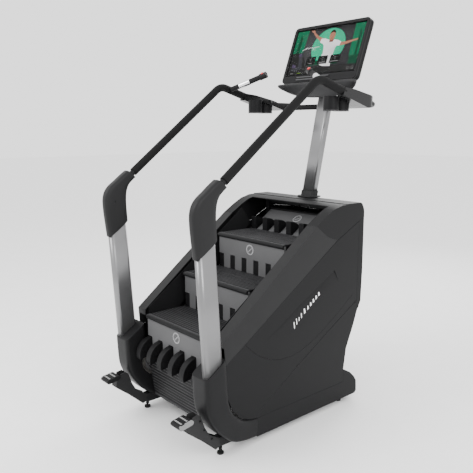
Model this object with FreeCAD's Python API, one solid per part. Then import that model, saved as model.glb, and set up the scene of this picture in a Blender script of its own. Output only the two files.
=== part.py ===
import FreeCAD, Part
import math
import os

# Stair climber: an endless loop of folding steps inside a moulded casing.
# Working frame: X to the user's right, Y forward to the console, Z up, millimetres.
# While modelling, Y = 0 is at the rear levelling feet. At the end everything is moved
# along Y so that the origin is at the bottom centre of the whole machine.

V = FreeCAD.Vector

# ---- steps and chain loop ----
STEP_RUN = 257.0
STEP_RISE = 200.0
STEP_WIDTH = 542.0
STEP_COUNT = 8
LEVEL_STEPS = 3
FIRST_AXLE_Y = -14.0
FIRST_AXLE_Z = 364.0
IDLER_RADIUS = 82.0
TREAD_THICK = 24.0
TREAD_TOP = 14.0
NOSING_REACH = 20.0
RISER_THICK = 14.0
FIN_COUNT = 6
FIN_MARGIN = 21.0
FIN_PITCH = (STEP_WIDTH - 2 * FIN_MARGIN) / (FIN_COUNT - 1)
FIN_WIDTH = 38.0
FIN_RADIUS = 88.0
SLOT_GAP = 2.0
STEP_SEAM = 8.0
AXLE_R = 6.0
RUN_FIT = 0.05
LOOP_PLAY = 2.6
KNUCKLE_WALL = 3.4
CHAIN_GAP = 4.0
CHAIN_WIDTH = 16.0
LINK_EDGE = 1.0
ROLLER_R = AXLE_R + LINK_EDGE
LINK_PLATE = 2.0

# ---- casing ----
CASING_HALF = 381.0
RAIL_INNER = 311.0
WALL = 4.0
PANEL_GAP = 0.6
BASE_TOP = 138.0
BASE_BOTTOM = 34.0
BASE_FRONT_Y = 1010.0
BASE_STEP_Y = 882.0
CASING_TOP = 1177.0
CASING_FRONT_Y = 1024.0
LIP_Y = 797.0
FRONT_BULGE = 72.0
BULGE_HALF = 290.0

# ---- frame ----
FRAME_IN = 305.0
FRAME_TUBE = 40.0
FLOOR_BEAM_Z = 44.0
FLOOR_BEAM_H = 50.0
FOOT_X = 333.0
FRONT_FOOT_Y = 900.0
BEAM_FRONT_Y = 958.0
CROSS_Y = 95.0
LADDER_W = 30.0
ARM_Z = 312.0
ARM_H = 38.0
STUD_R = 5.0
FOOT_DISC_R = 17.5

# ---- posts and handrails ----
POST_STEP = 5.0
POST_X = CASING_HALF + POST_STEP
POST_WIDTH = 48.0
POST_COVER = 5.0
POST_DEPTH = 106.0
POST_CORNER = 21.0
POST_LEAN = 0.066
POST_REF_Y = -88.0
POST_REF_Z = 458.0
SEAM_CLEAR = 0.5
POST_FOOT_Z = 300.0
TUBE_R = 16.0
SLEEVE_WALL = 6.0
SLEEVE_R = TUBE_R + SLEEVE_WALL
RAIL_LOW = (-26.0, 1345.0)
RAIL_BEND = (603.0, 1834.0)
RAIL_END = (975.0, 1728.0)
GRIP_ROOT = (366.0, 668.0, 1816.0)
GRIP_TIP = (172.0, 766.0, 1894.0)
CONTACT_LENGTH = 70.0
ELBOW_REACH = 126.0
SLEEVE_DROP = 205.0

# ---- foot platforms behind the posts ----
PLATFORM_DEPTH = 82.0
PLATFORM_THICK = 24.0
PLATFORM_TILT = 9.0
PLATFORM_AT = (-229.0, 240.0)
PLATFORM_RIDGES = 4

# ---- console ----
MAST_WIDTH = 90.0
MAST_DEPTH = 50.0
MAST_LEAN = 0.224
MAST_Y = 984.0
MAST_Z = 1216.0
MAST_FOOT = 1118.0
MAST_TOP = 1940.0
HEAD_TOP = 1156.0
SCREEN_TILT = 20.5
SCREEN_W = 538.0
SCREEN_H = 303.0
SCREEN_LOW_Y = 1032.5
SCREEN_LOW_Z = 1903.0
BEZEL_SIDE = 19.0
BEZEL_LOW = 46.0
CONSOLE_THICK = 44.0
BAR_Z = 1716.0
CUP_X = 300.0
CUP_REAR = 806.0
CUP_PITCH = 82.0
CUP_R = 43.0
CUP_WALL = 2.5
CUP_TOP = 1756.0
CUP_DEPTH = 78.0
TRAY_IN = 236.0
TRAY_TOP = 1742.0
WING_REACH = 22.0
WING_OUT = POST_X + WING_REACH
WING_WIDTH = 44.0
WING_REAR = 774.0
WING_FRONT = 1070.0
WING_NOSE = 28.0

NODES = {}


# ---------------------------------------------------------------- helpers
def face(points):
    """Flat face from a closed list of vectors."""
    return Part.Face(Part.makePolygon(list(points) + [points[0]]))


def slab(outline, x0, x1):
    """Side outline of (y, z) points, extruded across from x0 to x1."""
    return face([V(x0, y, z) for y, z in outline]).extrude(V(x1 - x0, 0, 0))


def plan(outline, z0, z1):
    """Plan outline of (x, y) points, extruded up from z0 to z1."""
    return face([V(x, y, z0) for x, y in outline]).extrude(V(0, 0, z1 - z0))


def box(x0, x1, y0, y1, z0, z1):
    return Part.makeBox(x1 - x0, y1 - y0, z1 - z0, V(x0, y0, z0))


def rod(x0, x1, y, z, r):
    """Round bar lying across the machine."""
    return Part.makeCylinder(r, x1 - x0, V(x0, y, z), V(1, 0, 0))


def ring(x0, x1, y, z, r_out, r_in):
    return rod(x0, x1, y, z, r_out).cut(rod(x0, x1, y, z, r_in))


def fused(shapes):
    result = shapes[0]
    if len(shapes) > 1:
        result = shapes[0].fuse(shapes[1:])
    return result.removeSplitter()


def mirrored(shape):
    return shape.mirror(V(0, 0, 0), V(1, 0, 0))


def group(shapes):
    return Part.makeCompound(shapes)


def both(name, right_shape):
    """A left and a right piece, mirror images of each other, in their own nodes."""
    NODES["right_" + name] = right_shape
    NODES["left_" + name] = mirrored(right_shape)


def pair(name, right_shape):
    """Two mirror-image pieces that share one node as separate solids."""
    NODES[name] = group([right_shape, mirrored(right_shape)])


def arc_points(cy, cz, r, start, end, steps):
    """Points of an arc in the side plane, angles in degrees."""
    angles = [math.radians(start + (end - start) * i / steps) for i in range(steps + 1)]
    return [(cy + r * math.cos(a), cz + r * math.sin(a)) for a in angles]


def bent_wire(points, radii):
    """Straight runs joined by tangent arcs, one radius for each inner point."""
    edges = []
    start = points[0]
    for before, corner, after, r in zip(points, points[1:], points[2:], radii):
        into = (corner - before).normalize()
        out = (after - corner).normalize()
        turn = into.getAngle(out)
        back = r * math.tan(turn / 2)
        first = corner - into * back
        last = corner + out * back
        inward = (out - into).normalize()
        middle = corner + inward * (r / math.cos(turn / 2) - r)
        edges.append(Part.LineSegment(start, first).toShape())
        edges.append(Part.Arc(first, middle, last).toShape())
        start = last
    edges.append(Part.LineSegment(start, points[-1]).toShape())
    return Part.Wire(edges)


def pipe(wire, r):
    """Round bar along a wire."""
    start = wire.Edges[0]
    at = start.valueAt(start.FirstParameter)
    along = start.tangentAt(start.FirstParameter)
    section = Part.Wire([Part.makeCircle(r, at, along)])
    return wire.makePipeShell([section], True, True)


def rounded_rect(cx, cy, z, width, depth, r):
    """Closed wire: a rounded rectangle in a level plane."""
    hw = width / 2
    hd = depth / 2
    k = r * (1 - math.sqrt(0.5))
    corners = ((1, 1), (-1, 1), (-1, -1), (1, -1))
    edges = []
    joints = []
    for i, (sx, sy) in enumerate(corners):
        a = V(cx + sx * hw, cy + sy * (hd - r), z)
        b = V(cx + sx * (hw - r), cy + sy * hd, z)
        m = V(cx + sx * (hw - k), cy + sy * (hd - k), z)
        if i % 2:
            a, b = b, a
        edges.append(Part.Arc(a, m, b).toShape())
        joints.append((a, b))
    for i in range(4):
        edges.append(Part.LineSegment(joints[i][1], joints[(i + 1) % 4][0]).toShape())
    return Part.Wire(Part.__sortEdges__(edges))


# ---------------------------------------------------------------- chain loop
PITCH = math.hypot(STEP_RUN, STEP_RISE)
INCLINE = math.degrees(math.atan2(STEP_RISE, STEP_RUN))
UP = (STEP_RUN / PITCH, STEP_RISE / PITCH)
INWARD = (UP[1], -UP[0])
FRONT_LENGTH = LEVEL_STEPS * PITCH


def drive_radius():
    """Pitch radius of the upper sprockets that closes the loop on whole steps."""
    radius = IDLER_RADIUS
    for _ in range(40):
        spread = 2 * math.atan2(radius - IDLER_RADIUS, FRONT_LENGTH)
        spare = STEP_COUNT * PITCH - 2 * FRONT_LENGTH - spread * (radius - IDLER_RADIUS)
        radius = spare / math.pi - IDLER_RADIUS
    return radius


DRIVE_RADIUS = drive_radius()
SPREAD = 2 * math.degrees(math.atan2(DRIVE_RADIUS - IDLER_RADIUS, FRONT_LENGTH))
BOTTOM = (FIRST_AXLE_Y, FIRST_AXLE_Z)
TOP = (BOTTOM[0] + LEVEL_STEPS * STEP_RUN, BOTTOM[1] + LEVEL_STEPS * STEP_RISE)
DRIVE = (TOP[0] + DRIVE_RADIUS * INWARD[0], TOP[1] + DRIVE_RADIUS * INWARD[1])
IDLER = (BOTTOM[0] + IDLER_RADIUS * INWARD[0], BOTTOM[1] + IDLER_RADIUS * INWARD[1])
FACE_ANGLE = INCLINE + 90
RETURN_ANGLE = FACE_ANGLE - 180 - SPREAD
RETURN_DIR = math.radians(INCLINE + 180 - SPREAD)


def around(centre, r, angle):
    a = math.radians(angle)
    return (centre[0] + r * math.cos(a), centre[1] + r * math.sin(a))


def chain_point(s):
    """Point of the chain line at a distance s up from the first axle."""
    top_arc = DRIVE_RADIUS * math.radians(180 + SPREAD)
    if s <= FRONT_LENGTH:
        return (BOTTOM[0] + s * UP[0], BOTTOM[1] + s * UP[1])
    s -= FRONT_LENGTH
    if s <= top_arc:
        return around(DRIVE, DRIVE_RADIUS, FACE_ANGLE - math.degrees(s / DRIVE_RADIUS))
    s -= top_arc
    start = around(DRIVE, DRIVE_RADIUS, RETURN_ANGLE)
    if s <= FRONT_LENGTH:
        return (start[0] + s * math.cos(RETURN_DIR), start[1] + s * math.sin(RETURN_DIR))
    s -= FRONT_LENGTH
    return around(IDLER, IDLER_RADIUS, RETURN_ANGLE - math.degrees(s / IDLER_RADIUS))


PIVOTS = [chain_point(k * PITCH) for k in range(STEP_COUNT)]


def nosing_of(k):
    """Point where riser k meets tread k, outside the chain line."""
    low = PIVOTS[k]
    high = PIVOTS[(k + 1) % STEP_COUNT]
    chord = math.hypot(high[0] - low[0], high[1] - low[1])
    heading = math.atan2(high[1] - low[1], high[0] - low[0])
    share = (STEP_RISE ** 2 + chord ** 2 - STEP_RUN ** 2) / (2 * STEP_RISE * chord)
    lean = heading + math.acos(share)
    return (low[0] + STEP_RISE * math.cos(lean), low[1] + STEP_RISE * math.sin(lean))


# Which stretch of the loop each step is on. A step on "leaving" or "folded" has one pivot
# on a wheel and one on a straight run, so its tread and riser turn by different amounts.
STEP_ON = ["run", "run", "run", "top", "leaving", "back", "back", "folded"]
# Which stretch of chain each axle is fixed to.
AXLE_ON = ["bottom", "run", "run", "run", "top", "back", "back", "back"]
FIN_X = [(i - (FIN_COUNT - 1) / 2) * FIN_PITCH for i in range(FIN_COUNT)]
HALF_STEP = STEP_WIDTH / 2
SLOT_WIDTH = FIN_WIDTH + 2 * SLOT_GAP
SLOT_LENGTH = FIN_RADIUS + 5
RISER_FACE = -RISER_THICK / 2
TREAD_BACK = RISER_FACE - STEP_SEAM
KNUCKLE_R = AXLE_R + LOOP_PLAY + KNUCKLE_WALL
HINGE_R = RISER_THICK / 2
HINGE_GAP = 0.5


def fold_angle(k):
    """Angle at the nosing hinge between riser k and tread k, in degrees."""
    low = PIVOTS[k]
    high = PIVOTS[(k + 1) % STEP_COUNT]
    chord_squared = (high[0] - low[0]) ** 2 + (high[1] - low[1]) ** 2
    cosine = (STEP_RISE ** 2 + STEP_RUN ** 2 - chord_squared) / (2 * STEP_RISE * STEP_RUN)
    return math.degrees(math.acos(cosine))


TIGHTEST_FOLD = min(fold_angle(k) for k in range(STEP_COUNT)) - 2


def placed(shape, origin, angle):
    """Turn a piece about X by an angle in degrees and carry it to its pivot."""
    turned = shape.copy()
    turned.rotate(V(0, 0, 0), V(1, 0, 0), angle)
    turned.translate(V(0, origin[0], origin[1]))
    return turned


def tread_piece(hole_r, hinge_gap):
    """Ribbed tread with nosing bar and six quarter-disc fins, about its back pivot."""
    low = TREAD_TOP - TREAD_THICK
    front = -STEP_RUN - NOSING_REACH
    nose_r = TREAD_THICK / 2
    outline = [(TREAD_BACK, low), (TREAD_BACK, TREAD_TOP)]
    outline += arc_points(front + nose_r, TREAD_TOP - nose_r, nose_r, 90, 270, 8)
    plate = slab(outline, -HALF_STEP, HALF_STEP)
    grooves = []
    for i in range(5):
        y = front + 34 + i * 44
        grooves.append(box(-HALF_STEP, HALF_STEP, y, y + 5, TREAD_TOP - 2, TREAD_TOP + 1))
    pieces = []
    for x in FIN_X:
        half = FIN_WIDTH / 2
        disc = rod(x - half, x + half, 0, 0, FIN_RADIUS)
        corner = box(x - half, x + half, RISER_FACE, FIN_RADIUS, low, FIN_RADIUS)
        pieces.append(disc.common(corner))
        pieces.append(box(x - half, x + half, TREAD_BACK - 2, 2, low, TREAD_TOP))
        pieces.append(rod(x - half, x + half, 0, 0, KNUCKLE_R))
    body = fused([plate] + pieces)
    body = body.cut(group(grooves + hinge_room(low, hinge_gap)))
    return body.cut(rod(-HALF_STEP, HALF_STEP, 0, 0, hole_r))


def hinge_room(low, gap):
    """Room under the nosing for the riser's rounded top through its whole fold."""
    r = HINGE_R + gap
    fold = math.radians(TIGHTEST_FOLD)
    corner = (-STEP_RUN + r * math.sin(fold), r * math.cos(fold))
    foot = corner[0] + (corner[1] - low + 1) / math.tan(fold)
    wedge = [(-STEP_RUN - r, low - 1), (-STEP_RUN - r, 0), (-STEP_RUN, 0), corner, (foot, low - 1)]
    return [rod(-HALF_STEP, HALF_STEP, -STEP_RUN, 0, r), slab(wedge, -HALF_STEP, HALF_STEP)]


def riser_piece(hole_r):
    """Slotted riser standing on its bottom pivot, its top edge under the nosing."""
    sheet = box(-HALF_STEP, HALF_STEP, RISER_FACE, -RISER_FACE, 0, STEP_RISE)
    rolled = rod(-HALF_STEP, HALF_STEP, 0, STEP_RISE, HINGE_R)
    slots = []
    knuckles = []
    for x in FIN_X:
        half = SLOT_WIDTH / 2
        slots.append(box(x - half, x + half, -40, 40, -40, SLOT_LENGTH))
    for x in [(i - (FIN_COUNT - 2) / 2) * FIN_PITCH for i in range(FIN_COUNT - 1)]:
        half = (FIN_PITCH - SLOT_WIDTH) / 2
        knuckles.append(rod(x - half, x + half, 0, 0, KNUCKLE_R))
    body = fused([sheet, rolled] + knuckles).cut(group(slots))
    return body.cut(rod(-HALF_STEP, HALF_STEP, 0, 0, hole_r))


STEP_NAMES = {"run": "level_run", "top": "over_drive", "leaving": "leaving_drive", "back": "return_run",
              "folded": "nearing_idler"}
CHAIN_NAMES = {"run": "level_run", "top": "over_drive", "back": "return_run", "bottom": "round_idler"}


def build_steps():
    treads = {part: [] for part in STEP_NAMES}
    risers = {part: [] for part in STEP_NAMES}
    for k in range(STEP_COUNT):
        low = PIVOTS[k]
        high = PIVOTS[(k + 1) % STEP_COUNT]
        nose = nosing_of(k)
        tread_angle = math.degrees(math.atan2(high[1] - nose[1], high[0] - nose[0]))
        riser_angle = math.degrees(math.atan2(nose[1] - low[1], nose[0] - low[0])) - 90
        part = STEP_ON[k]
        turning = part in ("leaving", "folded")
        low_hole = AXLE_R + (RUN_FIT if AXLE_ON[k] == part else LOOP_PLAY)
        high_hole = AXLE_R + (LOOP_PLAY if turning else RUN_FIT)
        tread = tread_piece(high_hole, LOOP_PLAY if turning else HINGE_GAP)
        treads[part].append(placed(tread, high, tread_angle))
        risers[part].append(placed(riser_piece(low_hole), low, riser_angle))
    for part, name in STEP_NAMES.items():
        NODES["treads_" + name] = group(treads[part])
        NODES["risers_" + name] = group(risers[part])


# ---------------------------------------------------------------- chains and shafts
CHAIN_X = HALF_STEP + CHAIN_GAP
CHAIN_MID = CHAIN_X + CHAIN_WIDTH / 2
DRIVE_TEETH = 31
IDLER_TEETH = 20
ROLLER_PITCH = 25.4
MESH_LENGTH = 70.0
AXLE_END = CHAIN_X + CHAIN_WIDTH + 1


def straight_chain(start, heading, length, axle_stations):
    """One straight length of chain at the right side: plates and rollers, one solid."""
    half = ROLLER_R * 0.85
    plates = []
    for x in (CHAIN_X, CHAIN_X + CHAIN_WIDTH - LINK_PLATE):
        plates.append(box(x, x + LINK_PLATE, 0, length, -half, half))
    rollers = []
    count = int((length - 2 * MESH_LENGTH) / ROLLER_PITCH)
    margin = (length - (count - 1) * ROLLER_PITCH) / 2
    for i in range(count):
        y = margin + i * ROLLER_PITCH
        rollers.append(rod(CHAIN_X + 1, CHAIN_X + CHAIN_WIDTH - 1, y, 0, ROLLER_R))
    body = fused(plates + rollers)
    for s in axle_stations:
        at_end = s < 0 or s > length
        hole = AXLE_R + (LOOP_PLAY if at_end else RUN_FIT)
        body = body.cut(rod(CHAIN_X - 1, AXLE_END + 1, s, 0, hole))
    return placed(body, start, heading)


def turning_chain(centre, radius, teeth, first, sweep):
    """The length of chain round one right-hand sprocket, angles in degrees."""
    half = ROLLER_R * 0.85
    wedge_r = radius + 60
    wedge = [centre]
    wedge += arc_points(centre[0], centre[1], wedge_r, first, first - sweep, 12)
    keep = slab(wedge, CHAIN_X, CHAIN_X + CHAIN_WIDTH)
    plates = []
    for x in (CHAIN_X, CHAIN_X + CHAIN_WIDTH - LINK_PLATE):
        hoop = ring(x, x + LINK_PLATE, centre[0], centre[1], radius + half, radius - half)
        plates.append(hoop.common(keep))
    rollers = []
    for i in range(int(sweep * teeth / 360)):
        y, z = around(centre, radius, first - (i + 0.5) * 360 / teeth)
        rollers.append(rod(CHAIN_X + 1, CHAIN_X + CHAIN_WIDTH - 1, y, z, ROLLER_R))
    return fused(plates + rollers)


def sprocket(centre, radius, teeth, first, bore):
    """Toothed wheel inside the right chain, relieved where the step axles sit."""
    root = radius - ROLLER_R - 1.5
    x0 = CHAIN_X + 4.5
    x1 = CHAIN_X + CHAIN_WIDTH - 4.5
    body = [rod(x0, x1, centre[0], centre[1], root)]
    for i in range(teeth):
        a = first - i * 360 / teeth
        body.append(slab([around(centre, root - 3, a - 2.4), around(centre, root - 3, a + 2.4),
                          around(centre, radius + 1, a + 0.9), around(centre, radius + 1, a - 0.9)],
                         x0, x1))
    wheel = fused(body)
    windows = []
    for i in range(5):
        y, z = around(centre, root * 0.64, 72 * i)
        windows.append(rod(x0 - 1, x1 + 1, y, z, root * 0.17))
    seats = [rod(x0 - 1, x1 + 1, y, z, AXLE_R + LOOP_PLAY) for y, z in PIVOTS]
    return wheel.cut(group(windows + seats)).cut(rod(x0 - 1, x1 + 1, centre[0], centre[1], bore))


SHAFT_R = 12.5
BEARING_R = 26.0
SHAFT_FIT = 0.05
CHAIN_END = 4.0


def build_chains():
    back_start = around(DRIVE, DRIVE_RADIUS, RETURN_ANGLE)
    up = INCLINE
    down = math.degrees(RETURN_DIR)
    stations = [k * PITCH - CHAIN_END for k in range(1, LEVEL_STEPS)]
    first = (BOTTOM[0] + CHAIN_END * UP[0], BOTTOM[1] + CHAIN_END * UP[1])
    trimmed = FRONT_LENGTH - 2 * CHAIN_END
    # The axles at both ends of the level run pass just outside the trimmed chain ends.
    front = straight_chain(first, up, trimmed, stations + [-CHAIN_END, trimmed + CHAIN_END])
    back_first = (back_start[0] + CHAIN_END * math.cos(RETURN_DIR),
                  back_start[1] + CHAIN_END * math.sin(RETURN_DIR))
    arc_top = DRIVE_RADIUS * math.radians(180 + SPREAD)
    back_stations = []
    for k in range(LEVEL_STEPS + 1, STEP_COUNT):
        s = k * PITCH - FRONT_LENGTH - arc_top
        if 0 < s < FRONT_LENGTH:
            back_stations.append(s - CHAIN_END)
    back = straight_chain(back_first, down, trimmed, back_stations)
    first_top = FACE_ANGLE - 360 / DRIVE_TEETH * 0.25
    over = turning_chain(DRIVE, DRIVE_RADIUS, DRIVE_TEETH, first_top, 180 + SPREAD - 6)
    y, z = PIVOTS[LEVEL_STEPS + 1]
    over = over.cut(rod(CHAIN_X - 1, AXLE_END + 1, y, z, AXLE_R + RUN_FIT))
    y, z = PIVOTS[LEVEL_STEPS]
    over = over.cut(rod(CHAIN_X - 1, AXLE_END + 1, y, z, AXLE_R + LOOP_PLAY))
    first_low = RETURN_ANGLE - 360 / IDLER_TEETH * 0.25
    under = turning_chain(IDLER, IDLER_RADIUS, IDLER_TEETH, first_low, 180 - SPREAD - 9)
    y, z = PIVOTS[0]
    under = under.cut(rod(CHAIN_X - 1, AXLE_END + 1, y, z, AXLE_R + RUN_FIT))
    lengths = {"run": front, "top": over, "back": back, "bottom": under}
    axles = step_axles()
    for part, name in CHAIN_NAMES.items():
        chain = lengths[part]
        NODES["chain_" + name] = group([chain, mirrored(chain)] + axles[part])
    drive_wheel = sprocket(DRIVE, DRIVE_RADIUS, DRIVE_TEETH, first_top, SHAFT_R)
    idler_wheel = sprocket(IDLER, IDLER_RADIUS, IDLER_TEETH, first_low, SHAFT_R)
    pair("drive_sprockets", drive_wheel)
    pair("idler_sprockets", idler_wheel)


def step_axles():
    """Step axles, listed by the stretch of chain that carries them."""
    owners = {part: [] for part in CHAIN_NAMES}
    for k in range(STEP_COUNT):
        y, z = PIVOTS[k]
        owners[AXLE_ON[k]].append(rod(-AXLE_END, AXLE_END, y, z, AXLE_R))
    return owners


DRIVE_PULLEY_R = 92.0
PULLEY_X = FRAME_IN + FRAME_TUBE + 6
PULLEY_W = 18.0
SHAFT_END = PULLEY_X + PULLEY_W
BRAKE = (DRIVE[0] - 120.0, DRIVE[1] - 235.0)
BRAKE_PULLEY_R = 22.0
BRAKE_R = 70.0
BRAKE_SHAFT_R = 8.0
BRAKE_PLATE = 5.0
MAGNET_THICK = 4.5
BELT_THICK = 2.5


def bearing_block(centre, x0, x1):
    """Flanged ball bearing housing, bored for its shaft."""
    housing = rod(x0, x1, centre[0], centre[1], BEARING_R)
    flange = box(x0, x0 + 6, centre[0] - 38, centre[0] + 38, centre[1] - 22, centre[1] + 22)
    return fused([housing, flange]).cut(rod(x0 - 1, x1 + 1, centre[0], centre[1], SHAFT_R + SHAFT_FIT))


def build_shafts():
    shaft_left = -(FRAME_IN + 34)
    NODES["drive_shaft"] = rod(shaft_left, SHAFT_END, DRIVE[0], DRIVE[1], SHAFT_R)
    NODES["idler_shaft"] = rod(shaft_left, FRAME_IN + 34, IDLER[0], IDLER[1], SHAFT_R)
    bearings = []
    for centre in (DRIVE, IDLER):
        block = bearing_block(centre, FRAME_IN + 10, FRAME_IN + 30)
        bearings += [block, mirrored(block)]
    NODES["shaft_bearings"] = group(bearings)
    x0 = PULLEY_X
    x1 = SHAFT_END
    wheel = rod(x0, x1, DRIVE[0], DRIVE[1], DRIVE_PULLEY_R)
    holes = []
    for i in range(6):
        y, z = around(DRIVE, DRIVE_PULLEY_R * 0.6, 60 * i)
        holes.append(rod(x0 - 1, x1 + 1, y, z, 17))
    wheel = wheel.cut(group(holes)).cut(rod(x0 - 1, x1 + 1, DRIVE[0], DRIVE[1], SHAFT_R))
    NODES["drive_pulley"] = wheel
    NODES["belt"] = belt_loop(x0 + 2, x1 - 2)
    y, z = BRAKE
    rotor = [rod(FRAME_IN, x1 + 2, y, z, BRAKE_SHAFT_R), rod(x0, x1, y, z, BRAKE_PULLEY_R)]
    rotor.append(rod(FRAME_IN + BRAKE_PLATE + MAGNET_THICK + 0.5, x0 - 8, y, z, BRAKE_R))
    NODES["brake_rotor"] = fused(rotor)
    magnet_x = FRAME_IN + BRAKE_PLATE
    NODES["brake_stator"] = ring(magnet_x, magnet_x + MAGNET_THICK, y, z, BRAKE_R, 14)


def belt_loop(x0, x1):
    """Open belt round the two pulleys, clear of both by a hair."""
    gap = 0.3
    dy = DRIVE[0] - BRAKE[0]
    dz = DRIVE[1] - BRAKE[1]
    reach = math.hypot(dy, dz)
    heading = math.degrees(math.atan2(dz, dy))
    solids = []
    for extra in (BELT_THICK + gap, gap):
        big = DRIVE_PULLEY_R + extra
        small = BRAKE_PULLEY_R + extra
        side = math.degrees(math.acos((big - small) / reach))
        outline = [around(DRIVE, big, heading + 180 - side), around(DRIVE, big, heading + 180 + side),
                   around(BRAKE, small, heading + 180 + side), around(BRAKE, small, heading + 180 - side)]
        hull = [slab(outline, x0, x1), rod(x0, x1, DRIVE[0], DRIVE[1], big)]
        hull.append(rod(x0, x1, BRAKE[0], BRAKE[1], small))
        solids.append(fused(hull))
    return solids[0].cut(solids[1])


# ---------------------------------------------------------------- casing
UPRIGHT_TOP = IDLER[1] + 60


def casing_outline():
    """Side outline of the casing, rear edge first, then up the stairs and forward."""
    outline = [(154, 146), (94, 172), (42, 224), (10, 297), (1, 376), (-4, 460), (-13, 591)]
    outline += [(298, 832), (624, 1078), (700, 1124), (760, 1155), (830, 1173)]
    outline += arc_points(CASING_FRONT_Y - 60, CASING_TOP - 60, 60, 90, 5, 6)
    outline += [(CASING_FRONT_Y + 2, 780), (1020, 600), (990, 548), (958, 464)]
    outline += [(901, 338), (BASE_STEP_Y, 215), (BASE_STEP_Y, BASE_TOP), (202, BASE_TOP)]
    return outline


def bulge_outline(extra):
    """Plan outline of the console end of the casing: flat centre and rounded corners."""
    side = CASING_HALF - extra
    front = CASING_FRONT_Y + FRONT_BULGE - extra
    return [(-side, 780), (side, 780), (side, 1004), (side - 22, 1046), (BULGE_HALF + 22, 1078 - extra),
            (BULGE_HALF - 24, front), (24 - BULGE_HALF, front), (-BULGE_HALF - 22, 1078 - extra),
            (22 - side, 1046), (-side, 1004)]


BULGE_SIDE = [(870, 560), (1000, 560), (1100, 700), (1100, 1060), (1085, 1100), (1050, 1140),
              (990, CASING_TOP), (870, CASING_TOP)]


def casing_shell():
    """The whole casing as one thin wall, before it is cut into its panels."""
    profile = face([V(0, y, z) for y, z in casing_outline()])
    outer = profile.copy()
    outer.translate(V(-CASING_HALF, 0, 0))
    outer = outer.extrude(V(2 * CASING_HALF, 0, 0))
    inner_face = profile.makeOffset2D(-WALL)
    inner_face.translate(V(WALL - CASING_HALF, 0, 0))
    inner = inner_face.extrude(V(2 * (CASING_HALF - WALL), 0, 0))
    hood = plan(bulge_outline(0), 540, CASING_TOP).common(slab(BULGE_SIDE, -CASING_HALF, CASING_HALF))
    hood_in = plan(bulge_outline(WALL), 540, CASING_TOP)
    hood_face = face([V(0, y, z) for y, z in BULGE_SIDE]).makeOffset2D(-WALL)
    hood_face.translate(V(-CASING_HALF, 0, 0))
    hood_in = hood_in.common(hood_face.extrude(V(2 * CASING_HALF, 0, 0)))
    hollow = inner.fuse(hood_in)
    shell = outer.fuse(hood).cut(hollow)
    inside = CASING_HALF - WALL
    stairwell = slab([(-40, 100), (LIP_Y, 100), (LIP_Y, 1300), (-40, 1300)], -RAIL_INNER, RAIL_INNER)
    open_base = box(-inside, inside, 100, 880, 100, BASE_TOP + WALL + 1)
    open_rear = slab([(-60, 100), (190, 100), (190, 190), (60, 300), (20, 560), (-60, 560)], -inside, inside)
    return shell.cut(group([stairwell])).cut(open_base).cut(open_rear)


def cutter(outline):
    return slab(outline, -500, 500)


# The long groove on each side, from the boot to the console end.
GROOVE_LOW = (-5, 471)
GROOVE_HIGH = (794, 985)
GROOVE_END = (1012, 1090)
SEAM = [(624, 1078), (669, 1045), (715, 1012), (756, 996), GROOVE_HIGH]


def build_casing():
    shell = casing_shell()
    above_groove = [(-60, 436), GROOVE_LOW, GROOVE_HIGH, GROOVE_END, (1300, 1090), (1300, 1300), (-60, 1300)]
    upper = shell.common(cutter(above_groove))
    lower = shell.cut(cutter([(y, z - PANEL_GAP) if z < 1200 else (y, z) for y, z in above_groove]))
    hood_line = [(600, 1300), (600, 1096)] + SEAM + [GROOVE_END, (1300, 1090), (1300, 1300)]
    hood = upper.common(cutter(hood_line))
    rails = upper.cut(cutter([(y - PANEL_GAP, z) for y, z in hood_line])).cut(cutter(hood_line))
    NODES["top_cover"] = main_solid(hood.cut(mast_hole()))
    right_half = box(0, 500, -200, 1300, 0, 1300)
    both("rail_cover", main_solid(rails.common(right_half)))
    split_y = CASING_FRONT_Y - 44
    seam_x = RAIL_INNER + 20
    inner_front = box(-seam_x, seam_x, 700, 1300, 0, 1300)
    front = lower.common(box(-500, 500, split_y, 1300, 0, 1300).fuse(inner_front))
    NODES["front_cover"] = main_solid(front)
    panels = lower.common(box(seam_x + PANEL_GAP, 500, -200, split_y - PANEL_GAP, 0, 1300))
    both("side_panel", main_solid(panels))
    wall = slab(offset_run(-40, 30), RAIL_INNER - 14, RAIL_INNER - 11)
    pair("inner_walls", main_solid(wall.cut(box(0, 500, -300, 6, 0, 1300))))


def offset_run(low, high):
    """Four-sided strip along the stair run: heights square to the incline."""
    normal = (-INWARD[0], -INWARD[1])
    nose = STEP_RUN * STEP_RISE / PITCH
    start = (BOTTOM[0] + 10 * UP[0], BOTTOM[1] + 10 * UP[1])
    length = FRONT_LENGTH + 30
    strip = []
    for along, off in ((0, 25), (length, 25), (length, nose + low + 32), (0, nose + high - 4)):
        strip.append((start[0] + along * UP[0] + off * normal[0],
                      start[1] + along * UP[1] + off * normal[1]))
    return strip


def main_solid(shape):
    """The largest solid of a cut shape: offcuts are dropped."""
    return max(shape.Solids, key=lambda solid: solid.Volume)


def mast_line(z):
    return MAST_Y + MAST_LEAN * (z - MAST_Z)


def mast_solid(z0, z1, grow):
    wire = rounded_rect(0, mast_line(z0), z0, MAST_WIDTH + 2 * grow, MAST_DEPTH + 2 * grow, 14 + grow)
    return Part.Face(wire).extrude(V(0, MAST_LEAN * (z1 - z0), z1 - z0))


def mast_hole():
    return mast_solid(CASING_TOP - 60, CASING_TOP + 30, 1.0)


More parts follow.
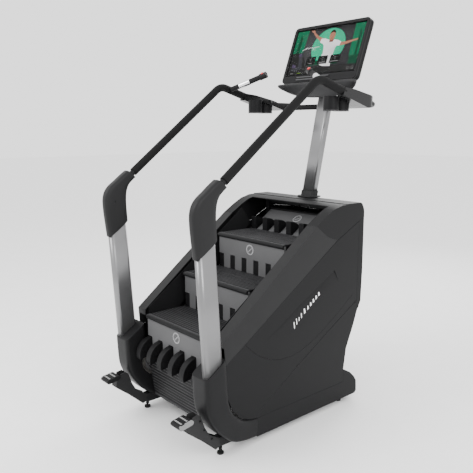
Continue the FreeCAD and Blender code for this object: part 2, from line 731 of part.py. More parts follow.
def build_base():
    """Lower skirts: a J-shaped boot round each post and a straight cover to the front."""
    x1 = POST_X + POST_WIDTH / 2 + POST_COVER
    x0 = 292
    outer = [(-146, 440), (-142, 370), (-139, 300), (-125, 250), (-97, 197), (-59, 148),
             (-17, 108), (35, 70), (98, 50), (202, BASE_BOTTOM)]
    inner = [(202, BASE_TOP - PANEL_GAP), (158, 144), (90, 171), (31, 223), (-4, 296), (-13, 376),
             (-18, 460), (-27, 523), (-55, 523), (-146, 444)]
    body = slab(outer + inner, x0, x1)
    section = face([V(x0 + WALL, y, z) for y, z in outer + inner]).makeOffset2D(-WALL)
    hollow = section.extrude(V(x1 - x0 - 2 * WALL, 0, 0))
    socket = post_solid(POST_FOOT_Z - 1, 700, 0.8)
    frame_room = box(FRAME_IN - 1, FRAME_IN + FRAME_TUBE + 1, -170, 230, 0, FLOOR_BEAM_Z + FLOOR_BEAM_H + 1)
    bracket_room = box(FRAME_IN - 1, FRAME_IN + FRAME_TUBE + 14, -230, 20, 0, 130)
    tube_room = box(0, FRAME_IN, CROSS_Y - 1, CROSS_Y + FRAME_TUBE + 1, 0, FLOOR_BEAM_Z + FLOOR_BEAM_H)
    ladder_room = box(FRAME_IN - 1, FRAME_IN + LADDER_W + 1, -10, 80, 90, UPRIGHT_TOP + 1)
    toe = plan([(x1, 20), (CASING_HALF + WALL, 203), (x1 + 1, 203)], 0, 300)
    toe_room = plan([(x1 - WALL, 20), (CASING_HALF, 203), (x1 + 1, 203), (x1 + 1, 20)], 0, 300)
    boot = body.cut(toe).cut(hollow.cut(toe_room))
    arm_room = box(FRAME_IN - 1, POST_X - POST_WIDTH / 2 + 1, -110, 42, ARM_Z - 1, ARM_Z + ARM_H + 1)
    for room in (socket, frame_room, bracket_room, tube_room, ladder_room, arm_room):
        boot = boot.cut(room)
    pair("boots", main_solid(boot))
    step_y = BASE_STEP_Y + PANEL_GAP
    front_top = [(202 + PANEL_GAP, BASE_TOP - PANEL_GAP), (step_y, BASE_TOP - PANEL_GAP), (step_y, 214),
                 (946, 178), (985, 142), (1006, 111), (BASE_FRONT_Y, 46), (996, BASE_BOTTOM),
                 (202 + PANEL_GAP, BASE_BOTTOM)]
    side = slab(front_top, FRAME_IN + FRAME_TUBE + 4, CASING_HALF)
    room = slab([(150, 0), (990, 0), (990, 120), (870, 132), (150, 132)], FRAME_IN + FRAME_TUBE + 3,
                CASING_HALF - WALL)
    right_side = main_solid(side.cut(room))
    half = FRAME_IN + FRAME_TUBE + 4 - PANEL_GAP
    nose = [(962, 150), (985, 142), (1006, 111), (BASE_FRONT_Y, 46), (996, BASE_BOTTOM), (990, BASE_BOTTOM)]
    across = slab(nose, -half, half)
    NODES["base_covers"] = group([right_side, mirrored(right_side), across])


def post_mid(z):
    return POST_REF_Y - POST_LEAN * (z - POST_REF_Z)


def post_solid(z0, z1, grow):
    wire = rounded_rect(POST_X, post_mid(z0), z0, POST_WIDTH + 2 * grow, POST_DEPTH + 2 * grow,
                        POST_CORNER + grow)
    return Part.Face(wire).extrude(V(0, -POST_LEAN * (z1 - z0), z1 - z0))


def build_posts():
    skin = post_solid(POST_FOOT_Z, 1180, 0)
    core = post_solid(POST_FOOT_Z - 1, 1181, -3.5)
    pair("posts", skin.cut(core))
    low = V(POST_X, RAIL_LOW[0], RAIL_LOW[1])
    bend = V(POST_X, RAIL_BEND[0], RAIL_BEND[1])
    end = V(POST_X, RAIL_END[0], RAIL_END[1])
    foot = V(POST_X, post_mid(1100), 1100)
    along = (bend - low).normalize()
    elbow = low - along * ELBOW_REACH
    bar_y = mast_line(BAR_Z)
    corner = V(POST_X, bar_y, BAR_Z)
    inner = V(MAST_WIDTH / 2 + 0.5, bar_y, BAR_Z)
    path = bent_wire([foot, elbow, bend, end, corner, inner], [60, 80, 60, 70])
    tube = pipe(path, TUBE_R)
    stub_root = V(*GRIP_ROOT)
    tip = V(*GRIP_TIP)
    both("handrail", main_solid(tube))
    down = (end - bend).normalize()
    sleeve_path = bent_wire([low + along * 14, bend, bend + down * SLEEVE_DROP], [80])
    sleeve = pipe(sleeve_path, SLEEVE_R).cut(pipe(sleeve_path, TUBE_R + RUN_FIT))
    grip_dir = (tip - stub_root).normalize()
    grip_hole = Part.makeCylinder(15.4, 60, stub_root - grip_dir * 30, grip_dir)
    sleeve = main_solid(sleeve.cut(grip_hole))
    pair("rail_sleeves", sleeve)
    length = (tip - stub_root).Length
    stub = Part.makeCylinder(15.0, length - 36, stub_root, grip_dir)
    stub = main_solid(stub.cut(pipe(path, TUBE_R + RUN_FIT)))
    pair("grips", stub)
    cap_root = stub_root + grip_dir * (length - 36 + 0.1)
    cap = Part.makeCylinder(18.5, 44, cap_root, grip_dir)
    face_dir = V(0, -0.55, 0.83)
    side_dir = grip_dir.cross(face_dir).normalize()
    face_dir = side_dir.cross(grip_dir).normalize()
    seat = cap_root + grip_dir * 22 + face_dir * 6
    well = Part.makeCylinder(8.3, 20, seat, face_dir)
    pair("grip_caps", main_solid(cap.cut(well)))
    button = Part.makeCylinder(8.0, 13, seat + face_dir * 2.2, face_dir)
    both("speed_button", button)
    contact_at = stub_root + grip_dir * (length * 0.25)
    contact = Part.makeCylinder(16.6, CONTACT_LENGTH, contact_at, grip_dir)
    bore = Part.makeCylinder(15.0 + RUN_FIT, CONTACT_LENGTH + 2, contact_at - grip_dir, grip_dir)
    contact = contact.cut(bore)
    pair("pulse_contacts", contact)
    build_elbow()


def build_elbow():
    """Two-shell elbow cover that hides the joint of post and handrail."""
    outer = [(-184, 1013), (-193, 1100), (-203, 1180), (-203, 1222), (-190, 1262), (-160, 1288),
             (-59, 1366), (-12, 1322), (-56, 1284), (-70, 1240), (-72, 1200), (-66, 1094)]
    half = POST_WIDTH / 2 + POST_COVER
    body = slab(outer, POST_X - half, POST_X + half)
    room = post_solid(900, 1181, SEAM_CLEAR)
    foot = V(POST_X, post_mid(1100), 1100)
    bend = V(POST_X, RAIL_BEND[0], RAIL_BEND[1])
    low = V(POST_X, RAIL_LOW[0], RAIL_LOW[1])
    along = (bend - low).normalize()
    tube_room = pipe(bent_wire([foot, low - along * ELBOW_REACH, bend], [60]), TUBE_R + 0.3)
    sleeve_room = Part.makeCylinder(SLEEVE_R + 0.3, 60, low + along * 13.5, along)
    pair("elbow_covers", main_solid(body.cut(room).cut(tube_room).cut(sleeve_room)))


def build_mounting_steps():
    """Gusset bracket and foot platform behind each post."""
    x0 = 296.0
    x1 = 370.0
    plate = [(-20, 55), (-46, 44), (-134, 124), (-213, 188), (-207, 226), (-186, 230), (-184, 256),
             (-152, 262), (-136, 250), (-112, 184), (-84, 136), (-20, 96)]
    near = slab(plate, 349, 354)
    far = slab(plate, FRAME_IN, FRAME_IN + 5)
    web = slab([(-213, 188), (-208, 224), (-203, 224), (-208, 190)], FRAME_IN + 5, 349)
    floor = slab([(-46, 44), (-134, 124), (-131, 129), (-44, 50)], FRAME_IN + 5, 349)
    bracket = fused([near, far, web, floor])
    round_end = PLATFORM_THICK / 2
    half = PLATFORM_DEPTH / 2 - round_end
    outline = arc_points(half, 0, round_end, -90, 90, 6) + arc_points(-half, 0, round_end, 90, 270, 6)
    body = slab(outline, x0, x1)
    ridges = []
    for i in range(PLATFORM_RIDGES):
        y = (i - (PLATFORM_RIDGES - 1) / 2) * 16
        ridges.append(box(x0 + 6, x1 - 6, y - 3, y + 3, round_end - 1, round_end + 1.5))
    platform = placed(fused([body] + ridges), PLATFORM_AT, PLATFORM_TILT)
    pair("step_brackets", main_solid(bracket.cut(placed(body, PLATFORM_AT, PLATFORM_TILT))))
    pair("foot_platforms", platform)


def frame_strut(half):
    """Outline of the diagonal between the two shafts."""
    rise = 24 * half / 30
    return [(IDLER[0] - rise, IDLER[1] + half), (IDLER[0] + rise, IDLER[1] - half),
            (DRIVE[0] + rise, DRIVE[1] - half), (DRIVE[0] - rise, DRIVE[1] + half)]


def build_frame():
    """Welded steel frame: floor beams, cross tubes, side ladders and mast socket."""
    x0 = FRAME_IN
    x1 = FRAME_IN + FRAME_TUBE
    z0 = FLOOR_BEAM_Z
    z1 = FLOOR_BEAM_Z + FLOOR_BEAM_H
    ladder = x0 + LADDER_W
    leg = [(795, z1), (840, z1), (850, 300), (975, 600), (975, HEAD_TOP), (935, HEAD_TOP), (935, 615),
           (805, 310)]
    upright = [(20, z1), (60, z1), (72, UPRIGHT_TOP), (0, UPRIGHT_TOP)]
    beams = [box(x0, x1, -20, BEAM_FRONT_Y, z0, z1)]
    beams += [slab(leg, x0, ladder), slab(upright, x0, ladder), slab(frame_strut(30), x0, ladder)]
    beams.append(box(x0, ladder, DRIVE[0] - 10, 965, DRIVE[1] - 24, DRIVE[1] + 24))
    beams.append(box(x0, POST_X - POST_WIDTH / 2, -108, 40, ARM_Z, ARM_Z + ARM_H))
    side = fused(beams)
    pockets = []
    for centre in (DRIVE, IDLER):
        pockets.append(rod(x0 - 1, x0 + 40, centre[0], centre[1], BEARING_R))
        pockets.append(box(x0 + 10, x0 + 16, centre[0] - 38, centre[0] + 38, centre[1] - 22, centre[1] + 22))
    side = side.cut(group(pockets))
    feet_holes = [Part.makeCylinder(STUD_R + RUN_FIT, 60, V(FOOT_X, y, z0 - 1)) for y in (0, FRONT_FOOT_Y)]
    side = main_solid(side.cut(group(feet_holes)))
    NODES["left_side_frame"] = mirrored(side)
    y, z = BRAKE
    plate = [(y - 74, z - 74), (y + 74, z - 74), (y + 74, z + 150), (y - 74, z + 90)]
    plate = slab(plate, x0, x0 + BRAKE_PLATE)
    side = fused([side, plate]).cut(rod(x0 - 1, x0 + 9, y, z, BRAKE_SHAFT_R + SHAFT_FIT))
    NODES["right_side_frame"] = main_solid(side)
    head = box(-x0, x0, 940, 988, HEAD_TOP - 36, HEAD_TOP).cut(mast_solid(MAST_FOOT, HEAD_TOP + 40, 0))
    crosses = [box(-x0, x0, CROSS_Y, CROSS_Y + FRAME_TUBE, z0 + 1, z0 + 26)]
    crosses.append(box(-x0, x0, BEAM_FRONT_Y - FRAME_TUBE, BEAM_FRONT_Y, z0, z1))
    NODES["cross_tubes"] = group(crosses + [main_solid(head)])
    mast = mast_solid(MAST_FOOT, MAST_TOP, 0)
    NODES["mast"] = mast.cut(mast_solid(MAST_FOOT - 1, MAST_TOP + 1, -4))
    flange = mast_solid(CASING_TOP + 2, CASING_TOP + 10, 26)
    collar = mast_solid(CASING_TOP + 10, CASING_TOP + 40, 6)
    NODES["mast_boot"] = fused([flange, collar]).cut(mast_solid(CASING_TOP, CASING_TOP + 60, 0.3))


def build_tracks():
    """Guide rails that carry the chain rollers, above the frame ladders."""
    gap = ROLLER_R + 0.4
    bars = []
    back_start = around(DRIVE, DRIVE_RADIUS, RETURN_ANGLE)
    for start, heading, sign in ((BOTTOM, math.radians(INCLINE), -1), (back_start, RETURN_DIR, 1)):
        bar = box(CHAIN_X, FRAME_IN, 60, FRONT_LENGTH - 60, 0, 6)
        if sign < 0:
            bar.translate(V(0, 0, -gap - 6))
        else:
            bar.translate(V(0, 0, gap))
        bars.append(placed(bar, start, math.degrees(heading)))
    NODES["tracks"] = group(bars + [mirrored(bar) for bar in bars])


def levelling_foot(y):
    disc = Part.makeCylinder(FOOT_DISC_R, 10, V(FOOT_X, y, 0))
    stud = Part.makeCylinder(STUD_R, 62, V(FOOT_X, y, 10))
    collar = Part.makeCylinder(9, 14, V(FOOT_X, y, 22))
    return fused([disc, stud, collar])


def build_feet():
    feet = [levelling_foot(0), levelling_foot(FRONT_FOOT_Y)]
    NODES["levelling_feet"] = group(feet + [mirrored(foot) for foot in feet])


# ---------------------------------------------------------------- console
def screen_frame(shape):
    """Carry a piece from the upright screen frame to the tilted console."""
    tilted = shape.copy()
    tilted.rotate(V(0, 0, 0), V(1, 0, 0), -SCREEN_TILT)
    tilted.translate(V(0, SCREEN_LOW_Y, SCREEN_LOW_Z))
    return tilted


def build_console():
    half = SCREEN_W / 2
    wide = half + BEZEL_SIDE
    low = -BEZEL_LOW
    high = SCREEN_H + BEZEL_SIDE
    blank = box(-wide, wide, -4, 8, low, high)
    edges = [e for e in blank.Edges if abs(e.tangentAt(0).y) > 0.9]
    blank = blank.makeFillet(16, edges)
    window = box(-half, half, -5, 9, 0, SCREEN_H)
    NODES["console_bezel"] = screen_frame(blank.cut(window))
    glass = box(-half + 0.3, half - 0.3, -2, 2, 0.3, SCREEN_H - 0.3)
    NODES["display_glass"] = screen_frame(glass)
    panel = box(-half + 8, half - 8, 2.4, 8, 8, SCREEN_H - 8)
    NODES["display_panel"] = screen_frame(panel)
    back = box(-wide, wide, 8.4, CONSOLE_THICK, low, high)
    edges = [e for e in back.Edges if abs(e.tangentAt(0).y) > 0.9]
    back = back.makeFillet(16, edges)
    room = box(-wide + 3, wide - 3, 8, CONSOLE_THICK - 3, low + 3, high - 3)
    NODES["console_back"] = screen_frame(back.cut(room))
    board = box(-150, 150, 14, 16, 40, 200)
    NODES["console_board"] = screen_frame(board)
    y0 = SCREEN_LOW_Y - 30
    ledge_out = [(y0 - 10, 1842), (y0 - 10, 1852), (y0 + 8, 1858), (y0 + 14, 1856), (y0 + 30, 1812),
                 (mast_line(1770) - 34, 1770), (mast_line(1770) - 34, 1766), (y0 + 20, 1800)]
    ledge = slab(ledge_out, -300, 300)
    ledge = ledge.cut(mast_solid(1700, MAST_TOP, 1.0))
    NODES["console_ledge"] = main_solid(ledge)
    half_mast = MAST_WIDTH / 2
    plate = screen_frame(box(-80, 80, CONSOLE_THICK, CONSOLE_THICK + 4, -30, 130))
    cheek = slab([(1085, 1842), (1150, 1842), (1172, 1930), (1140, 1990)], half_mast, half_mast + 4)
    cheek = cheek.cut(screen_frame(box(0, 400, -300, CONSOLE_THICK + 1, -200, 500)))
    bracket = fused([plate, cheek, mirrored(cheek)])
    NODES["console_bracket"] = bracket.cut(mast_solid(1700, MAST_TOP + 60, 0))
    build_tray()


def oblong(r, z0, z1):
    """Two joined round cups seen from above."""
    near = Part.makeCylinder(r, z1 - z0, V(CUP_X, CUP_REAR, z0))
    far = Part.makeCylinder(r, z1 - z0, V(CUP_X, CUP_REAR + CUP_PITCH, z0))
    return near.fuse(far)


def build_tray():
    cups = oblong(CUP_R, CUP_TOP - CUP_DEPTH, CUP_TOP)
    room = oblong(CUP_R - CUP_WALL, CUP_TOP - CUP_DEPTH + CUP_WALL, CUP_TOP + 1)
    pair("cup_holders", main_solid(cups.cut(room).removeSplitter()))
    wing = [(WING_REAR, 1757), (WING_REAR + 16, 1797), (870, 1790), (939, 1777), (1015, 1763)]
    wing += arc_points(WING_FRONT - WING_NOSE, 1728, WING_NOSE, 66, -84, 6) + [(985, 1697)]
    body = slab(wing, TRAY_IN, WING_OUT)
    corner = rounded_rect((TRAY_IN + WING_OUT) / 2 - 60, (WING_REAR + WING_FRONT) / 2 - 60, 1600,
                          WING_OUT - TRAY_IN + 120, WING_FRONT - WING_REAR + 120, 70)
    body = body.common(Part.Face(corner).extrude(V(0, 0, 300)))
    body = body.cut(box(0, WING_OUT - WING_WIDTH, 700, 1300, TRAY_TOP, 1900))
    sheet = body.cut(oblong(CUP_R + 0.4, 1600, 1900))
    bend = V(POST_X, RAIL_BEND[0], RAIL_BEND[1])
    end = V(POST_X, RAIL_END[0], RAIL_END[1])
    bar_y = mast_line(BAR_Z)
    rail_path = bent_wire([bend, end, V(POST_X, bar_y, BAR_Z), V(40, bar_y, BAR_Z)], [60, 70])
    sheet = sheet.cut(pipe(rail_path, TUBE_R + 0.4))
    down = (end - bend).normalize()
    sheet = sheet.cut(Part.makeCylinder(SLEEVE_R + 0.4, SLEEVE_DROP + 1, bend, down))
    pair("trays", main_solid(sheet))


def export_all():
    os.makedirs("parts", exist_ok=True)
    whole = Part.makeCompound(list(NODES.values())).BoundBox
    shift = V(0, -(whole.YMin + whole.YMax) / 2, -whole.ZMin)
    for name, shape in NODES.items():
        moved = shape.copy()
        moved.translate(shift)
        if not moved.isValid():
            print("INVALID", name)
        moved.exportStep("parts/%s.step" % name)
    print("nodes", len(NODES), "shift", shift, "size", whole.XLength, whole.YLength, whole.ZLength)
    print("drive", DRIVE, DRIVE_RADIUS, "idler", IDLER, IDLER_RADIUS, "brake", BRAKE)
    return shift


build_steps()
build_chains()
build_shafts()
build_casing()
build_base()
build_posts()
build_mounting_steps()
build_frame()
build_tracks()
build_feet()
build_console()
export_all()
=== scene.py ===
import math

import bmesh
import bpy
from mathutils import Matrix, Vector


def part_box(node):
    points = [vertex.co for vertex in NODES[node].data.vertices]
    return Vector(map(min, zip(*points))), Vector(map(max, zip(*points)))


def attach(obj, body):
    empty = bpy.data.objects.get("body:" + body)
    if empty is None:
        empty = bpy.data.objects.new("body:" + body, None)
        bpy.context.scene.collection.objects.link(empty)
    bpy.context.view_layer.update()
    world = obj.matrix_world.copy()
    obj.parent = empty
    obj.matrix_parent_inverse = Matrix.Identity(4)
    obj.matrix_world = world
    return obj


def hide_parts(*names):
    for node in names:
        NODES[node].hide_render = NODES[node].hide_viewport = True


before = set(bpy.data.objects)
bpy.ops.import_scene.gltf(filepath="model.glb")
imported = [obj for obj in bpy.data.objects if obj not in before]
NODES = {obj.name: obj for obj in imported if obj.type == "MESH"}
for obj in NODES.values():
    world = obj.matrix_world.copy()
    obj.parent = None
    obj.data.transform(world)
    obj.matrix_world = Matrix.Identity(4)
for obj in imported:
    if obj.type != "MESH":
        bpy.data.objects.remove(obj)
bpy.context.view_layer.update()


# ---------------------------------------------------------------- steel frame
# Two welded side frames and three cross tubes of steel tube, powder coated black.
# They stand on the levelling feet and carry the shafts, the posts and the mast.
REAR_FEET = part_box("levelling_feet")[0].y + 0.0175


def at(x, y, z):
    """A point given across, forward of the rear feet, and up, in metres."""
    return Vector((x, REAR_FEET + y, z))


def finish(name, colour, rough, metal=0.0, grain=300.0, bump=0.1, mottle=0.12, patch=6.0, coat=0.0,
           shine=0.1, glow=0.0):
    """A paint, plastic, rubber or metal: fine grain in the bump, soft patches in colour and gloss."""
    mat = bpy.data.materials.new(name)
    mat.use_nodes = True
    tree = mat.node_tree
    shader = tree.nodes["Principled BSDF"]
    shader.inputs["Metallic"].default_value = metal
    shader.inputs["Coat Weight"].default_value = coat
    shader.inputs["Specular IOR Level"].default_value = shine
    shader.inputs["Emission Strength"].default_value = glow
    shader.inputs["Coat Roughness"].default_value = 0.25
    place = tree.nodes.new("ShaderNodeTexCoord")
    patches = tree.nodes.new("ShaderNodeTexNoise")
    patches.inputs["Scale"].default_value = patch
    patches.inputs["Detail"].default_value = 5.0
    tree.links.new(place.outputs["Object"], patches.inputs["Vector"])
    tint = tree.nodes.new("ShaderNodeValToRGB")
    low, high = tint.color_ramp.elements
    low.position, high.position = 0.3, 0.7
    low.color = [c * (1 - mottle) for c in colour] + [1]
    high.color = [min(1, c * (1 + mottle)) for c in colour] + [1]
    tree.links.new(patches.outputs["Fac"], tint.inputs["Fac"])
    tree.links.new(tint.outputs["Color"], shader.inputs["Emission Color" if glow else "Base Color"])
    if glow:
        shader.inputs["Base Color"].default_value = (0.005, 0.005, 0.005, 1)
    gloss = tree.nodes.new("ShaderNodeMapRange")
    gloss.inputs["To Min"].default_value = max(0.02, rough - 0.06)
    gloss.inputs["To Max"].default_value = min(1.0, rough + 0.06)
    tree.links.new(patches.outputs["Fac"], gloss.inputs["Value"])
    tree.links.new(gloss.outputs["Result"], shader.inputs["Roughness"])
    fine = tree.nodes.new("ShaderNodeTexNoise")
    fine.inputs["Scale"].default_value = grain
    fine.inputs["Detail"].default_value = 3.0
    tree.links.new(place.outputs["Object"], fine.inputs["Vector"])
    relief = tree.nodes.new("ShaderNodeBump")
    relief.inputs["Strength"].default_value = bump
    relief.inputs["Distance"].default_value = 0.0006
    tree.links.new(fine.outputs["Fac"], relief.inputs["Height"])
    tree.links.new(relief.outputs["Normal"], shader.inputs["Normal"])
    return mat


def coat_node(node, material, edge=0.0, segments=3):
    """Gives a frame node its real finish, and breaks its sharp edges with a small radius."""
    obj = NODES[node]
    obj.data.materials.clear()
    obj.data.materials.append(material)
    weld = obj.modifiers.new("weld", "WELD")
    weld.merge_threshold = 0.00002
    if edge:
        bevel = obj.modifiers.new("edge", "BEVEL")
        bevel.width = edge
        bevel.segments = segments
        bevel.limit_method = "ANGLE"
        bevel.angle_limit = math.radians(38)
        bevel.harden_normals = False
        even = obj.modifiers.new("even", "WEIGHTED_NORMAL")
        even.keep_sharp = True
    for face in obj.data.polygons:
        face.use_smooth = True
    return obj


powder_coat = finish("powder_coat", (0.016, 0.016, 0.017), 0.5, grain=900, bump=0.35)
for node in ("left_side_frame", "right_side_frame", "cross_tubes", "console_bracket"):
    coat_node(node, powder_coat, 0.0012, 2)

# ---------------------------------------------------------------- levelling feet
# Four rubber pads on zinc-plated studs that screw up into the floor beams.
pad_rubber = finish("pad_rubber", (0.012, 0.012, 0.012), 0.75, grain=500, bump=0.4)
coat_node("levelling_feet", pad_rubber, 0.0012, 3)

# ---------------------------------------------------------------- drive
# Hardened sprockets on ground shafts in cast bearings, a toothed belt up to the
# brake disc, and the roller chains whose plates carry the step axles.
machined = finish("machined_sprocket", (0.27, 0.27, 0.28), 0.42, 0.9, grain=160, bump=0.2)
ground_steel = finish("ground_shaft", (0.55, 0.55, 0.56), 0.25, 1.0, grain=500, bump=0.1)
cast_iron = finish("bearing_casting", (0.13, 0.14, 0.15), 0.62, 0.3, grain=220, bump=0.7)
oiled_chain = finish("oiled_chain", (0.2, 0.19, 0.18), 0.35, 0.9, grain=90, bump=0.2, mottle=0.3)
turned_alloy = finish("turned_alloy", (0.6, 0.6, 0.62), 0.32, 1.0, grain=60, bump=0.15)
belt_rubber = finish("belt_rubber", (0.02, 0.02, 0.02), 0.6, grain=700, bump=0.4)
magnet_paint = finish("magnet_paint", (0.09, 0.09, 0.1), 0.5, grain=400, bump=0.3)
track_nylon = finish("track_nylon", (0.05, 0.05, 0.05), 0.45, grain=300, bump=0.2)
for node, material in (
    ("drive_sprockets", machined), ("idler_sprockets", machined), ("drive_shaft", ground_steel),
    ("idler_shaft", ground_steel), ("shaft_bearings", cast_iron), ("drive_pulley", turned_alloy),
    ("belt", belt_rubber), ("brake_rotor", turned_alloy), ("brake_stator", magnet_paint),
    ("tracks", track_nylon), ("chain_level_run", oiled_chain), ("chain_over_drive", oiled_chain),
    ("chain_return_run", oiled_chain), ("chain_round_idler", oiled_chain),
):
    coat_node(node, material, 0.0005, 1)

# ---------------------------------------------------------------- treads
# Ribbed black treads with quarter-disc fins that comb through the next riser.
# Fine ribs run across each tread, and a notched bar lines its nosing.
STEP_RUN = 0.257
STEP_RISE = 0.2
TREAD_TOP = 0.014
NOSING_REACH = 0.02
HALF_STEP = 0.271
tread_black = finish("tread_black", (0.007, 0.007, 0.0075), 0.46, grain=420, bump=0.4, mottle=0.2)
rib_black = finish("tread_rib", (0.05, 0.05, 0.052), 0.4, grain=420, bump=0.3, mottle=0.2)
step_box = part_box("treads_level_run")
LAST_PIVOT = Vector((0, step_box[1].y - 0.088, step_box[1].z - 0.088))
for node in ("treads_level_run", "treads_over_drive", "treads_leaving_drive", "treads_return_run",
             "treads_nearing_idler"):
    coat_node(node, tread_black, 0.0012, 2)


def piece(name, material):
    """An empty mesh piece in its material; the caller fills its mesh and makes it ride."""
    obj = bpy.data.objects.new(name, bpy.data.meshes.new(name))
    bpy.context.scene.collection.objects.link(obj)
    obj.data.materials.append(material)
    return obj


def fill(obj, verts, faces, body="machine", edge=0.0, segments=2, angle=35):
    """Puts the mesh in a piece, rounds its edges and makes it ride."""
    obj.data.from_pydata([tuple(v) for v in verts], [], faces)
    mesh = bmesh.new()
    mesh.from_mesh(obj.data)
    bmesh.ops.recalc_face_normals(mesh, faces=mesh.faces)
    mesh.to_mesh(obj.data)
    mesh.free()
    for face in obj.data.polygons:
        face.use_smooth = True
    if edge:
        bevel = obj.modifiers.new("edge", "BEVEL")
        bevel.width = edge
        bevel.segments = segments
        bevel.limit_method = "ANGLE"
        bevel.angle_limit = math.radians(angle)
    obj.modifiers.new("even", "WEIGHTED_NORMAL").keep_sharp = True
    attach(obj, body)
    return obj


def brick(x0, x1, y0, y1, z0, z1, base=0):
    """Corners and faces of a small rectangular bar, numbered from base."""
    verts = [Vector((x, y, z)) for x in (x0, x1) for y in (y0, y1) for z in (z0, z1)]
    faces = [(0, 1, 3, 2), (4, 6, 7, 5), (0, 4, 5, 1), (2, 3, 7, 6), (0, 2, 6, 4), (1, 5, 7, 3)]
    return verts, [tuple(base + i for i in f) for f in faces]


def tread_relief(name, pivot, lean, body):
    """Cross ribs and a notched nosing bar, on one tread."""
    verts, faces = [], []

    def add(x0, x1, y0, y1, z0, z1):
        v, f = brick(x0, x1, y0, y1, z0, z1, len(verts))
        verts.extend(v)
        faces.extend(f)

    front = -STEP_RUN - NOSING_REACH
    for i in range(13):
        y = front + 0.04 + i * 0.0186
        if y < -0.02:
            add(-HALF_STEP + 0.006, HALF_STEP - 0.006, y, y + 0.0035, TREAD_TOP - 0.001, TREAD_TOP + 0.0014)
    for i in range(60):
        x = -HALF_STEP + 0.008 + i * 0.00888
        add(x, x + 0.0058, front + 0.0135, front + 0.0255, TREAD_TOP - 0.001, TREAD_TOP + 0.0018)
    turn = Matrix.Rotation(math.radians(lean), 3, "X")
    verts = [pivot + turn @ v for v in verts]
    return fill(piece(name, rib_black), verts, faces, body, 0.0004, 1)


for i in range(3):
    drop = (2 - i) * Vector((0, STEP_RUN, STEP_RISE))
    tread_relief("tread_ribs_level_%d" % (i + 1), LAST_PIVOT - drop, 0, "stair_run")
FIRST_PIVOT = LAST_PIVOT - 3 * Vector((0, STEP_RUN, STEP_RISE))
HANGING_LEAN = 98.88
tread_relief("tread_ribs_hanging", FIRST_PIVOT, HANGING_LEAN, "nearing_tread")

# ---------------------------------------------------------------- risers
# Moulded grey risers, comb-slotted at the foot, with a generic round badge near the top.
riser_grey = finish("riser_grey", (0.085, 0.085, 0.087), 0.46, grain=500, bump=0.25, mottle=0.06)
badge_grey = finish("badge_grey", (0.42, 0.42, 0.43), 0.4, grain=500, bump=0.1)
for node in ("risers_level_run", "risers_over_drive", "risers_leaving_drive", "risers_return_run",
             "risers_nearing_idler"):
    coat_node(node, riser_grey, 0.0008, 2)


def badge(name, foot, lean, body):
    """A thin ring with three little stair marks inside, raised on a riser's face."""
    verts, faces = [], []
    centre = Vector((0, -0.0072, STEP_RISE - 0.052))
    for r0, r1 in ((0.0262, 0.0288), (0.0225, 0.0235)):
        steps = 40
        base = len(verts)
        for i in range(steps):
            a = 2 * math.pi * i / steps
            for r in (r0, r1):
                for y in (0.0, -0.0006):
                    verts.append(centre + Vector((r * math.cos(a), y, r * math.sin(a))))
        for i in range(steps):
            a, b = base + 4 * i, base + 4 * ((i + 1) % steps)
            faces += [(a, b, b + 2, a + 2), (a + 1, a + 3, b + 3, b + 1), (a, a + 1, b + 1, b),
                      (a + 2, b + 2, b + 3, a + 3)]
    for i in range(3):
        x = -0.0135 + i * 0.009
        z = -0.0125 + i * 0.008
        for x0, x1, z0, z1 in ((x, x + 0.009, z, z + 0.0022), (x + 0.0068, x + 0.009, z, z + 0.01)):
            v, f = brick(x0, x1, -0.0006, 0.0, z0, z1, len(verts))
            verts += [centre + p for p in v]
            faces += f
    turn = Matrix.Rotation(math.radians(lean), 3, "X")
    verts = [foot + turn @ v for v in verts]
    return fill(piece(name, badge_grey), verts, faces, body)


for i in range(3):
    foot = FIRST_PIVOT + i * Vector((0, STEP_RUN, STEP_RISE))
    badge("riser_badge_level_%d" % (i + 1), foot, 0, "stair_run")
OVER_DRIVE_LEAN = -56.44
badge("riser_badge_over_drive", LAST_PIVOT, OVER_DRIVE_LEAN, "upper_turn")

# ---------------------------------------------------------------- casing
# Thin moulded shells over the steel frame: rail covers beside the flight, side panels
# below the long groove, a hood over the top sprockets and a front cover.
moulded_black = finish("moulded_black", (0.009, 0.009, 0.0095), 0.5, grain=650, bump=0.35, mottle=0.08)
panel_black = finish("panel_black", (0.008, 0.008, 0.0085), 0.44, grain=650, bump=0.25, mottle=0.08)
rail_black = finish("rail_cover_black", (0.016, 0.016, 0.0165), 0.4, grain=650, bump=0.25, mottle=0.06)


